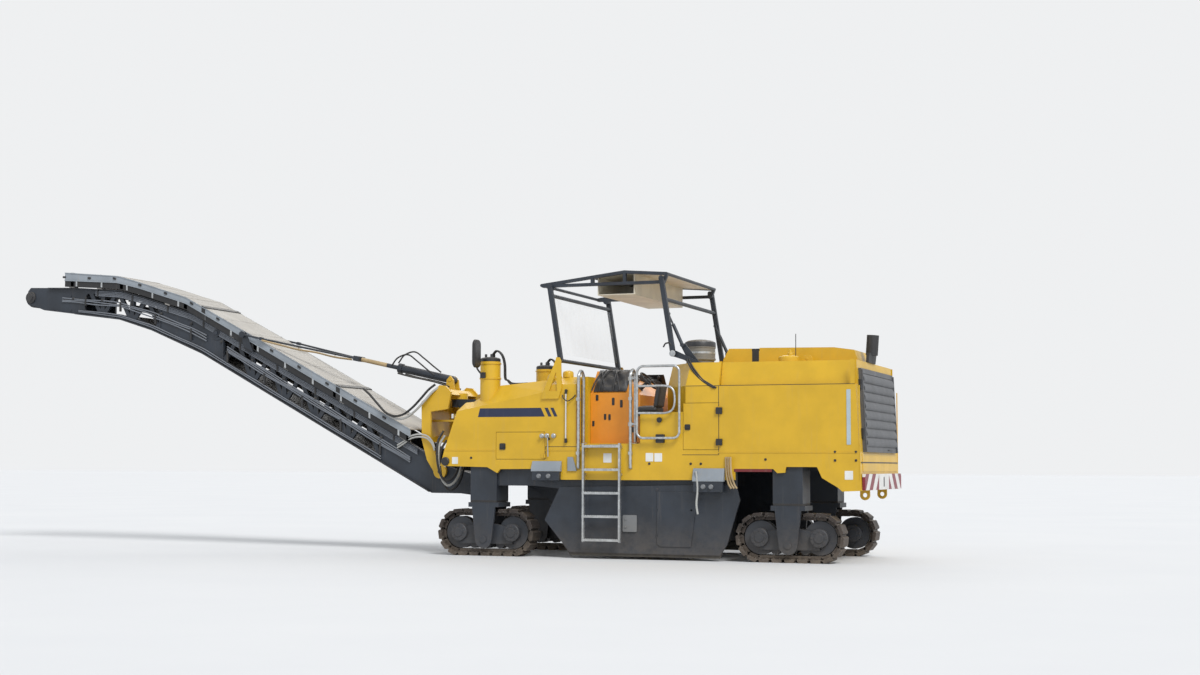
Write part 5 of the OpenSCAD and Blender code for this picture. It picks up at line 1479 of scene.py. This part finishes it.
@dataclass
class SideBoxes:
    """Boxes with their lids and sockets, a hanging hose and the skirt's fittings."""

    face: float = SIDE_FACE
    deep: float = 0.06

    def box(self, x0: float, x1: float, z0: float, z1: float, lid: float) -> list:
        """A folded box with a sloping lid of its own that overhangs its front."""
        y = self.face + 0.001
        mid = z1 - lid
        side = [(y, z0), (y + self.deep, z0), (y + self.deep, mid), (y, mid)]
        cap = [(y, mid + 0.004), (y + 0.064, mid + 0.004), (y + 0.064, mid + 0.04), (y + 0.018, z1),
               (y, z1)]
        return [plate(side, (x0, 0, 0), ACROSS, UP, (x1 - x0, 0, 0)),
                plate(cap, (x0 - 0.012, 0, 0), ACROSS, UP, (x1 - x0 + 0.024, 0, 0))]

    def sockets(self, x0: float, x1: float, z: float, count: int) -> list:
        """Round sockets with caps in a row on the box's face."""
        y = self.face + self.deep
        return [turned([(0.03, 0), (0.03, 0.016), (0.024, 0.02), (0.024, 0.034), (0.0, 0.036)],
                       (x, y, z), ACROSS, 20) for x in np.linspace(x0, x1, count).tolist()]

    def build(self, shop: Shop) -> None:
        """Makes both sides."""
        front, rear = self.box(0.925, 1.3, 0.975, 1.22, 0.135), self.box(-1.225, -0.85, 0.845,
            1.135, 0.165)
        shop.make("side_boxes", both([front[0], rear[0]]), "dark_paint", "chassis",
                  0.004, 35.0, ("side_lamp_boxes",))
        shop.make("box_lids", both([front[1], rear[1]]), "rail_grey", "chassis",
                  0.003)
        caps = self.sockets(1.07, 1.2, 1.03, 2) + self.sockets(-1.08, -0.98, 0.91, 2)
        shop.make("box_sockets", both(caps), "box_grey", "chassis", 0.001)
        lever = [bent([(-0.885, 1.205, 1.1), (-0.9, 1.205, 0.98), (-0.905, 1.203, 0.86),
                       (-0.89, 1.2, 0.7), (-0.905, 1.198, 0.575)], 0.013, 10)]
        shop.make("hanging_hose", both(lever), "grey_hose", "chassis")
        y = self.face - 0.036 + 0.002
        fit = [tile(0.186, 0.208, 0.015, (0.005, y, 0.447), 0.016)]
        fit += [bolt((0.06, y + 0.016, z), ACROSS, 0.014) for z in (0.4, 0.5)]
        sheet = [upright([(-0.35, 0.843), (-0.35, 0.2), (-0.4, 0.168), (-0.79, 0.168),
                          (-0.883, 0.843)], (0, y, 0), 0.01)]
        shop.make("skirt_sheet", both(sheet), "dark_paint", "chassis", 0.002)
        shop.make("skirt_plates", both(fit), "box_grey", "chassis", 0.002)
        spots = [(0.62, 0.84), (0.15, 0.86), (-0.35, 0.87), (-0.85, 0.88), (-1.28, 0.88),
                 (-0.35, 0.3), (-0.35, 0.62), (-0.8, 0.62)]
        shop.make("skirt_bolts", both([bolt((x, y - 0.002, z), ACROSS, 0.015, 0.012)
                                       for x, z in spots]), "dark_paint", "chassis")
        y -= 0.036
        rubber = [upright([(-1.225, 0.205), (-1.158, 0.035), (0.815, 0.035), (0.935, 0.205)],
                          (0, y, 0), 0.014)]
        shop.make("skirt_rubber", both(rubber), "black_rubber", "chassis", 0.002)


@dataclass
class Mirror:
    """The rounded mirror in a black housing on a bent arm."""

    centre: tuple = (2.105, 1.172, 2.607)

    def build(self, shop: Shop) -> None:
        """Replaces the plain mirror: a pillow-shaped housing, the glass and its arm."""
        outline = np.array(rounded(0.185, 0.35, 0.065, 8))
        centre = vec(*self.centre)
        rows = [(1.0, -0.02), (1.04, -0.01), (1.04, 0.012), (0.97, 0.02), (0.78, 0.026),
                (0.4, 0.03), (0.0, 0.031)]
        grid = np.stack([np.stack([np.full(len(outline), centre[0] + d),
                                   centre[1] + s * outline[:, 0], centre[2] + s * outline[:, 1]],
                                  -1) for s, d in rows])
        housing = lattice(grid, wrap_v=True, caps=True)
        glass = plate(rounded(0.16, 0.32, 0.055, 8), centre + vec(-0.02, 0, 0), ACROSS, UP,
                      (-0.0015, 0, 0))
        arm = [bent([(2.112, 1.15, 2.47), (2.11, 1.14, 2.42), (2.085, 1.115, 2.37),
                     (2.062, 1.09, 2.34), (2.055, 1.078, 2.31)], 0.012),
               brick((2.02, 1.061, 2.292), (2.09, 1.09, 2.368))]
        shop.make("mirror_housing", [housing], "black_plastic", "chassis", 0.0,
                  60.0, ("mirror_left",))
        shop.make("mirror_glass", [glass], "cleaner_cap", "chassis")
        shop.make("mirror_arm", arm, "black_plastic", "chassis", 0.002)


@dataclass
class Rails:
    """Handrail hoops beside the entrances and the two gates, as smooth bent tubes."""

    face: float = SIDE_FACE
    rail_x: tuple = (0.681, -0.018)
    rail_radius: float = 0.02
    rail_y: float = 1.1673
    inner_y: float = 0.992
    floor_z: float = 1.4405
    clamp_z: tuple = (1.3, 1.98)
    gate_y: float = 1.211
    gate_middle: tuple = (-0.3965, 1.953)
    gate_size: tuple = (0.555, 0.894)
    arm_z: tuple = (1.68, 2.25)

    def hoop(self, x: float) -> Part:
        """One hoop: up the panel, over in two bends and down inside to its foot."""
        y, i = self.rail_y, self.inner_y
        return bent([(x, y - 0.018, 1.135), (x, y - 0.004, 1.146), (x, y, 1.18), (x, y, 1.6),
                     (x, y, 2.24), (x, y - 0.012, 2.305), (x, y - 0.055, 2.355),
                     (x, (y + i) / 2, 2.364), (x, i + 0.055, 2.355), (x, i + 0.012, 2.305),
                     (x, i, 2.24), (x, i, 1.8), (x, i, 1.462)], self.rail_radius, 16)

    def feet(self, x: float) -> list:
        """Clamps that hold a hoop to the panel and its round foot on the floor."""
        parts = [brick((x - 0.023, self.face, z), (x + 0.023, self.rail_y + 0.024, z + 0.04))
                 for z in self.clamp_z]
        foot = [(0.05, 0.0), (0.05, 0.008), (0.03, 0.014)]
        return parts + [turned(foot, (x, self.inner_y, self.floor_z), UP, 24)]

    def gate(self) -> list:
        """A gate: its outer and inner loops, two arms and their knuckles on the rail."""
        y = self.gate_y
        x0, z0 = self.gate_middle
        loop = np.array([(x0 + a, y, z0 + b) for a, b in rounded(*self.gate_size, 0.08, 6)])
        inner = smooth_path([(-0.124, y, 2.152), (-0.3, y, 2.152), (-0.5, y, 2.15),
                             (-0.59, y, 2.105), (-0.615, y, 1.985), (-0.59, y, 1.865),
                             (-0.5, y, 1.818), (-0.3, y, 1.816), (-0.124, y, 1.816)])
        parts = [hose(loop, 0.016, 14, True), hose(inner, 0.014, 12)]
        for z in self.arm_z:
            parts.append(rod((-0.124, y, z), (-0.046, self.rail_y + 0.012, z), 0.013, 12))
            parts.append(turned([(0.0215, -0.022), (0.032, -0.022), (0.032, 0.022),
                                 (0.0215, 0.022)], (self.rail_x[1], self.rail_y, z), UP, 28))
        return parts

    def build(self, shop: Shop) -> None:
        """Replaces the plain handrails and gates."""
        hoops = [self.hoop(x) for x in self.rail_x]
        shop.make("handrail_hoops", both(hoops), "galvanised", "chassis", 0.0, 50.0,
                  ("handrails",))
        feet = [part for x in self.rail_x for part in self.feet(x)]
        shop.make("handrail_feet", both(feet), "galvanised", "chassis", 0.002)
        for side in Side:
            shop.make(f"gate_tubes_{side.word}", [on_side(p, side) for p in self.gate()],
                      "galvanised", f"gate_{side.word}", 0.0, 50.0,
                      (f"gate_{side.word}",))


@dataclass
class Canopy:
    """What hangs on the folding canopy: washers on its pins and an arm on the left rear post."""

    rear_pivot: tuple = (-0.542, 2.56)
    post: tuple = (0.155, 0.955)

    def along(self, share: float, y: float) -> np.ndarray:
        """A place on a rear post, at a share of its length."""
        return vec(self.rear_pivot[0] + share * self.post[0], y,
                   self.rear_pivot[1] + share * self.post[1])

    def build(self, shop: Shop) -> None:
        """Makes the canopy's trim."""
        cap = [(0.04, 0), (0.04, 0.008), (0.024, 0.014), (0.0, 0.014)]
        caps = [turned(cap, self.along(0.0, 1.0855), ACROSS, 24)]
        shop.make("post_washers", both(caps), "galvanised", "rear_posts", 0.001)
        low = self.along(0.1, 1.078)
        arm = [bent([low, low + vec(0.02, 0.004, 0.035), low + vec(0.075, 0.006, 0.03),
                     low + vec(0.105, 0.006, -0.015)], 0.01, 10)]
        shop.make("post_arm", arm, "black_plastic", "rear_posts")


@dataclass
class DeckTrim:
    """The lifting cylinders' trim, filler caps, the deck's grip sheet and the nose lamps."""

    cyl_x: float = 2.015
    cyl_y: float = 0.928
    ring_z: tuple = (2.474, 2.28)
    cap_bolts: tuple = (0.4, 2.2, 4.3)

    def build(self, shop: Shop) -> None:
        """Makes the front deck's trim."""
        rings, caps, hoses = [], [], []
        for s in (1, -1):
            at = (self.cyl_x, s * self.cyl_y, 0)
            rings += [turned([(0.133, z), (0.143, z + 0.004), (0.143, z + 0.02),
                              (0.133, z + 0.024)], at, UP, 48) for z in self.ring_z]
            caps.append(turned([(0.132, 2.513), (0.132, 2.548), (0.118, 2.562), (0.06, 2.574),
                                (0.0, 2.576)], at, UP, 40))
            stub = [(0.017, 0), (0.017, 0.04), (0.013, 0.046), (0, 0.048)]
            for k in self.cap_bolts:
                foot = (self.cyl_x + 0.06 * math.cos(k), s * self.cyl_y + 0.06 * math.sin(k), 2.566)
                caps.append(turned(stub, foot, UP, 12))
            for d, low in ((0.0, 2.055), (0.035, 2.04)):
                hoses.append(bent([(1.99, s * (0.9 + d), 2.6), (1.93, s * (0.9 + d), 2.655),
                                   (1.86, s * (0.89 + d), 2.6), (1.83, s * (0.87 + d), 2.48),
                                   (1.825, s * (0.86 + d), 2.3), (1.8, s * (0.83 + d), 2.27),
                                   (1.76, s * (0.8 + d), low + 0.18),
                                   (1.66, s * (0.78 + d), low + 0.175),
                                   (1.55, s * (0.76 + d), low + 0.18)], 0.0115))
        shop.make("cylinder_rings", rings, "yellow_paint", "chassis")
        shop.make("cylinder_caps", caps, "black_plastic", "chassis")
        shop.make("cylinder_hoses", hoses, "black_rubber", "chassis")
        dome = [turned([(0.098, 0), (0.098, 0.02), (0.085, 0.06), (0.05, 0.092), (0.0, 0.104)],
                       (1.115, s * 0.9, 2.262), UP, 32) for s in (1, -1)]
        dome += [turned([(0.07, 0), (0.07, 0.06), (0.06, 0.078), (0.02, 0.092), (0.0, 0.093)],
                        (0.93, s * 0.9, 2.29), UP, 28) for s in (1, -1)]
        shop.make("filler_caps", dome, "yellow_paint", "chassis", 0.001)
        grip = [upright([(1.15, 2.264), (1.7, 2.2125), (1.7, 2.2205), (1.15, 2.272)], (0, -0.4, 0),
                        0.8)]
        shop.make("deck_grip", grip, "dark_paint", "chassis", 0.002)
        lamps, lens = [], []
        for s in (1, -1):
            at = (2.56, s * 1.02, 1.235)
            lamps.append(turned([(0.0, -0.02), (0.06, -0.02), (0.075, 0.0), (0.075, 0.03),
                                 (0.068, 0.034)], at, (1, 0, 0.1), 32))
            lens.append(turned([(0.066, 0.026), (0.064, 0.036), (0.04, 0.041), (0.0, 0.043)], at,
                               (1, 0, 0.1), 32))
        shop.make("nose_lamps", lamps, "black_plastic", "chassis", 0.001)
        shop.make("nose_lenses", lens, "clear_lens", "chassis")


@dataclass
class Conveyor:
    """The cover's trim, the truss's flanges, lines and rollers, and the head's bearings."""

    out: float = 0.38
    cover_out: float = 0.45
    curtain: float = 0.085
    table: tuple = ((3.42, 1.47, 1.65), (5.9, 2.785, 2.965), (7.08, 3.405, 3.575),
                    (7.9, 3.655, 3.825), (8.27, 3.745, 3.925), (9.213, 3.81, 4.01))
    low_edge: tuple = ((2.39, 0.785), (3.125, 0.79), (6.795, 2.745), (7.68, 3.11), (8.27, 3.29),
                       (9.64, 3.466), (9.925, 3.572))
    top_edge: tuple = ((2.39, 1.01), (3.0, 1.18), (3.23, 1.349), (7.005, 3.35), (7.835, 3.605),
                       (8.255, 3.715), (9.03, 3.78), (9.895, 3.812))
    head: tuple = (9.885, 3.662)
    seam_x: tuple = (3.455, 4.6, 5.9, 7.08, 8.2, 9.08)
    lip_x: tuple = (6.77, 4.55)
    rib_run: tuple = (3.85, 9.0, 0.43)
    post_run: tuple = (3.6, 9.1, 0.45)
    bolt_run: tuple = (3.95, 9.3, 0.26)
    roller_run: tuple = (3.9, 9.5, 0.52)
    clamp_run: tuple = (3.7, 8.7, 0.62)
    flange_run: tuple = (3.15, 9.55, 90)
    fold: tuple = (6.581, 3.045)
    fold_plate: tuple = (6.48, 7.56)

    def at(self, table: tuple, x: float | np.ndarray, column: int = 1) -> np.ndarray:
        """A column of a table looked up at places along the machine, straight between its rows."""
        t = np.array(table)
        return np.interp(x, t[:, 0], t[:, column])

    def height(self, table: tuple, x: float, column: int = 1) -> float:
        """A column of a table looked up at one place along the machine."""
        return float(self.at(table, x, column))

    def hoop(self, x: float, width: float, lift: float) -> Part:
        """A band up one side of the cover, across its top and down the other side."""
        rows = []
        for px in (x - width / 2, x + width / 2):
            low, top = self.height(self.table, px, 1), self.height(self.table, px, 2)
            o, i = self.cover_out + lift, self.cover_out - 0.002
            rows.append([(px, y, z)
                         for y, z in ((-o, low), (-o, top + lift), (o, top + lift), (o, low),
                                      (i, low), (i, top - 0.002), (-i, top - 0.002), (-i, low))])
        return lattice(np.array(rows), wrap_v=True, caps=True)

    def cover(self, shop: Shop) -> None:
        """The cover's seams and ribs, painted rail, curtain with its posts, and latches."""
        body = "conveyor"
        seams = [self.hoop(x, 0.055, 0.005) for x in self.seam_x]
        ribs = [self.hoop(x, 0.02, 0.003) for x in np.arange(*self.rib_run).tolist()]
        shop.make("cover_seams", seams, "grey_plastic", body)
        shop.make("cover_ribs", ribs, "grey_plastic", body)
        x = np.linspace(self.table[0][0], self.table[-1][0], 90)
        low, top = self.at(self.table, x, 1), self.at(self.table, x, 2)
        rail = [ribbon(x, low + self.curtain, top, self.cover_out, 0.01),
                ribbon(x, top - 0.012, top, self.cover_out, 0.016),
                ribbon(x, low + self.curtain - 0.01, low + self.curtain + 0.006, self.cover_out,
                       0.018)]
        shop.make("cover_rails", both(rail), "rail_grey", body)
        shop.make("cover_curtain", both([ribbon(x, low - 0.012, low + self.curtain, self.cover_out,
                                                0.005)]), "black_rubber", body)
        posts, latches = [], []
        for px in np.arange(*self.post_run).tolist():
            z, rise = self.height(self.table, px), self.curtain
            lean = (self.height(self.table, px + 0.03) - z) / 0.03
            posts.append(upright([(-0.014, -0.014 * lean), (0.014, 0.014 * lean),
                                  (0.014, rise + 0.014 * lean), (-0.014, rise - 0.014 * lean)],
                                 (px, self.cover_out, z), 0.012))
            latches.append(plate(rounded(0.05, 0.03, 0.006),
                                 (px + 0.22, self.cover_out + 0.01, z + 0.22 * lean + rise + 0.045),
                                 (1, 0, lean), UP, (0, 0.012, 0)))
        shop.make("curtain_posts", both(posts), "galvanised", body, 0.001)
        shop.make("cover_latches", both(latches), "black_plastic", body, 0.001)
        shop.make("cover_lips", [self.hoop(px, 0.06, 0.014) for px in self.lip_x], "black_plastic",
                  body)

    def truss(self, shop: Shop) -> None:
        """The side frames' flanges and bolts, the fold joint's plates and the rollers' ends."""
        body = "conveyor"
        bolts = [bolt((x, self.out, self.height(table, x) + d), ACROSS, 0.012, 0.01)
                 for x in np.arange(*self.bolt_run).tolist()
                 for table, d in ((self.low_edge, 0.045), (self.top_edge, -0.12))]
        x, z = self.fold
        bolts += bolt_circle((x, self.out, z), 0.08, np.arange(0, 6.2, 0.785), ACROSS, 0.009)
        shop.make("truss_bolts", both(bolts), "dark_paint", body)
        ring = [turned([(0.052, -0.0005), (0.105, 0.0), (0.105, 0.006), (0.096, 0.01),
                        (0.052, 0.01)], (x, self.out, z), ACROSS, 40),
                turned([(0.03, 0.0), (0.03, 0.012), (0.018, 0.018), (0.0, 0.018)],
                       (x, self.out + 0.03, z), ACROSS, 24)]
        for edge in self.fold_plate:
            lo, hi = self.height(self.low_edge, edge) + 0.03, self.height(self.top_edge,
                edge) - 0.03
            ring.append(brick((edge - 0.01, self.out - 0.001, lo),
                              (edge + 0.01, self.out + 0.012, hi)))
        shop.make("fold_joint", both(ring), "dark_paint", body, 0.001)
        x = np.linspace(*self.flange_run)
        flange = []
        for table, up in ((self.low_edge, 0.0), (self.top_edge, -0.012)):
            edge = self.at(table, x)
            flange.append(ribbon(x, edge + up, edge + up + 0.012, self.out - 0.001, 0.046))
        shop.make("truss_flanges", both(flange), "dark_paint", body)
        rollers = [turned([(0.0, 0), (0.022, 0), (0.022, 0.018), (0.012, 0.022), (0.012, 0.034),
                           (0, 0.034)], (float(px), self.out,
                                         self.height(self.top_edge, px) - 0.165), ACROSS, 12)
                   for px in np.arange(*self.roller_run)]
        shop.make("roller_ends", both(rollers), "iron", body)

    def line(self, start: float, end: float, share: float, drop: float, sway: float) -> Part:
        """One swaying line on the side frame, at a share of its height less a drop."""
        x = np.linspace(start, end, 60)
        low, top = self.at(self.low_edge, x), self.at(self.top_edge, x)
        z = low + share * (top - low) - drop + sway * np.sin(7 * x + 30 * share)
        return hose(np.stack([x, np.full_like(x, self.out + 0.013), z], -1), 0.0095, 8)

    def lines(self, shop: Shop) -> None:
        """Hydraulic lines side by side along the side frames, with their clamps; the lines' grey is
        a painted highlight, the glint of light on black hoses.
        """
        runs = [self.line(3.34, 8.7, 1.0, 0.03 + 0.022 * k, 0.0) for k in range(4)]
        runs += [self.line(3.45, 6.4, 0.62 - 0.05 * k, 0.0, 0.007) for k in range(4)]
        runs += [self.line(6.75, 9.3, 0.58 - 0.07 * k, 0.0, 0.006) for k in range(3)]
        runs += [self.line(3.9, 9.0, 0.15 - 0.06 * k, 0.0, 0.004) for k in range(2)]
        # The lines' grey finish is a painted highlight standing for light glinting on black hoses.
        shop.make("conveyor_lines", runs, "line_grey", "conveyor")
        clamps = []
        for px in np.arange(*self.clamp_run).tolist():
            low, top = self.height(self.low_edge, px), self.height(self.top_edge, px)
            clamps.append(brick((px - 0.014, self.out - 0.001, top - 0.112),
                                (px + 0.014, self.out + 0.028, top - 0.016)))
            clamps.append(brick((px + 0.2, self.out - 0.001, low + 0.42 * (top - low)),
                                (px + 0.225, self.out + 0.028, low + 0.74 * (top - low))))
        shop.make("line_clamps", clamps, "iron", "conveyor", 0.002)

    def build(self, shop: Shop) -> None:
        """Makes what rides on the conveyor."""
        self.cover(shop)
        self.truss(shop)
        self.lines(shop)
        x, z = self.head
        head = [turned([(0.0, 0), (0.085, 0), (0.085, 0.022), (0.055, 0.032), (0.055, 0.05),
                        (0, 0.052)], (x, self.out, z), ACROSS, 28)]
        head += bolt_circle((x, self.out + 0.02, z), 0.066, np.arange(0, 6.2, 1.05), ACROSS, 0.008)
        shop.make("head_bearings", both(head), "iron", "conveyor", 0.001)
        z = self.height(self.table, 9.213, 2) - 0.075
        lamp = [turned([(0.0, -0.02), (0.045, -0.02), (0.06, 0.01), (0.06, 0.04), (0.05, 0.044)],
                       (9.225, 0.0, z), (0.9, 0, -0.44), 28),
                brick((9.19, -0.02, z - 0.01), (9.225, 0.02, z + 0.06))]
        shop.make("belt_lamp", lamp, "black_plastic", "conveyor", 0.001)


@dataclass
class Hoses:
    """Hydraulic hoses, which are all held at both ends."""

    thin: float = 0.011
    thick: float = 0.016
    boom_foot: tuple = (3.01, 2.335)
    boom_lean: float = 12.284
    stay_start: float = 1.51
    stay_end: float = 2.819
    stay_out: tuple = (0.07, 0.433)

    def shifted(self, points: list, offset: tuple) -> np.ndarray:
        """The smooth path through the points, moved by an offset."""
        return smooth_path(points) + vec(*offset)

    def stay(self, along: float, drop: float) -> np.ndarray:
        """A place under the left stay: so far along the boom from its pin, and so far below."""
        lean = math.radians(self.boom_lean)
        share = (min(along, self.stay_end) - self.stay_start) / (self.stay_end - self.stay_start)
        x = self.boom_foot[0] + along * math.cos(lean) + drop * math.sin(lean)
        z = self.boom_foot[1] + along * math.sin(lean) - drop * math.cos(lean)
        return vec(x, self.stay_out[0] + share * self.stay_out[1], z)

    def build(self, shop: Shop) -> None:
        """Makes the hoses; one that crosses a joint stays in place, parented to neither body."""
        boom = [(2.985, 0.0, 2.215), (3.06, 0.1, 2.255), (3.2, 0.12, 2.3), (3.4, 0.12, 2.345),
                (3.6, 0.11, 2.385), (3.8, 0.09, 2.435)]
        parts = [hose(self.shifted(boom, (0, d, 0)), self.thin) for d in (0.0, 0.028, -0.2)]
        shop.make("boom_hoses", parts, "black_rubber", "boom_barrel")
        under = [self.stay(u, drop)
                 for u, drop in ((1.56, 0.03), (1.8, 0.046), (2.05, 0.036), (2.3, 0.048),
                                 (2.55, 0.036), (2.8, 0.026))]
        parts = [hose(self.shifted(under, (0, d, d * 0.4)), 0.009) for d in (0.0, 0.024)]
        parts += [rod(self.stay(u, 0.04), self.stay(u, 0.0), 0.005, 6)
                  for u in (1.8, 2.05, 2.3, 2.55)]
        shop.make("stay_hoses", parts, "tan_rod", "boom_rod")
        feed = [(3.02, 0.425, 2.215), (3.1, 0.47, 2.14), (3.2, 0.5, 2.02), (3.32, 0.51, 1.9),
                (3.46, 0.505, 1.81), (3.6, 0.495, 1.79), (3.74, 0.485, 1.84), (3.88, 0.475, 1.97),
                (4.0, 0.468, 2.09), (4.1, 0.463, 2.17)]
        across = Between("mast", "conveyor", (3.2, 0.45, 2.0), (3.9, 0.45, 2.0))
        for name, d, finish in (("feed_hose_pale", 0.0, "grey_hose"),
                                ("feed_hose_dark", 0.04, "black_rubber")):
            shop.make(name, [hose(self.shifted(feed, (d, d * 0.4, d)), self.thick)], finish, across)
        low = [(3.045, 0.47, 1.36), (3.08, 0.475, 1.45), (3.16, 0.48, 1.525), (3.29, 0.475, 1.545),
               (3.42, 0.45, 1.52), (3.54, 0.425, 1.45), (3.645, 0.4, 1.4)]
        shop.make("low_hoses", [hose(self.shifted(low, (0, 0, d)), 0.012) for d in (0.0, 0.034)],
                  "grey_hose", Between("mast", "conveyor", (3.15, 0.45, 1.5), (3.55, 0.42, 1.45)))
        arcs = [(3.82, 0.065, 2.58), (3.72, 0.075, 2.69), (3.56, 0.08, 2.73), (3.42, 0.078, 2.64),
                (3.28, 0.07, 2.53), (3.16, 0.066, 2.44)]
        parts = [hose(self.shifted(arcs, (d, d, -0.6 * d)), 0.011) for d in (0.0, 0.07)]
        shop.make("barrel_loops", parts, "black_rubber", "boom_barrel")
        ends = [self.stay(u, 0.0) * vec(1, 0, 1) for u in (1.04, 1.455)]
        sleeve = [rod(*ends, 0.0304, 24)]
        shop.make("rod_sleeve", sleeve, "tan_rod", "boom_rod")
        loop = [(2.905, 0.45, 1.56), (2.93, 0.56, 1.42), (2.9, 0.64, 1.2), (2.83, 0.69, 1.0),
                (2.74, 0.7, 0.9), (2.65, 0.69, 0.93), (2.59, 0.66, 1.03), (2.57, 0.62, 1.15),
                (2.552, 0.58, 1.24)]
        for name, shifts, finish in (("nose_hose_pale", (0.0,), "grey_hose"),
                                     ("nose_hoses_dark", (0.045, -0.05), "black_rubber")):
            shop.make(name, [hose(self.shifted(loop, (0, d, d * 1.3)), self.thick) for d in shifts],
                      finish, Between("chassis", "mast", (2.6, 0.6, 1.2), (2.93, 0.5, 1.4)))
        post = [(-0.7, 1.012, 2.52), (-0.722, 1.036, 2.465), (-0.785, 1.075, 2.37),
                (-0.9, 1.105, 2.24), (-1.0, 1.135, 2.175), (-1.1, 1.158, 2.12)]
        parts = [hose(self.shifted(post, (d, 0, 0)), self.thin) for d in (0.0, -0.03)]
        shop.make("canopy_hoses", both(parts), "black_rubber", "chassis")


def dress_solids(frame: dict, shop: Shop) -> None:
    """Gives every solid of the frame the finish of its material slot, with a few that differ."""
    slots = {part["node"]: part["material_slot"] for part in frame["record"]["subparts"]}
    # The control console gets the orange finish, which is painted shade: the yellow paint as it
    # looks in shadow.
    special = {"control_console": "orange_paint", "side_lamp_boxes": "box_grey",
               "boom_rod": "dark_paint", "canopy_rods": "dark_paint", "side_skirts": "dark_paint"}
    for name, obj in frame["nodes"].items():
        material = shop.materials[special.get(name, slots[name])]
        obj.data.materials.clear()
        obj.data.materials.append(material)


def main() -> None:
    """Loads the frame, sets the studio and builds every sub-assembly in order."""
    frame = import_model()
    Studio().build()
    effects = Effects()
    shop = Shop({finish.name: finish.material(effects) for finish in FINISHES})
    dress_solids(frame, shop)
    for assembly in (Undercarriage(), BodyTrim(), Tail(), HoodTrim(), Cleaner(), Platform(),
                     DrumPicks(), SideBoxes(), Mirror(), Rails(), Canopy(), DeckTrim(), Conveyor(),
                     Hoses()):
        LOG.info("building %s", type(assembly).__name__)
        assembly.build(shop)
    bpy.context.scene.view_settings.view_transform = "Standard"


if __name__ == "__main__":
    logging.basicConfig(level=logging.INFO, format="%(name)s: %(message)s")
    main()
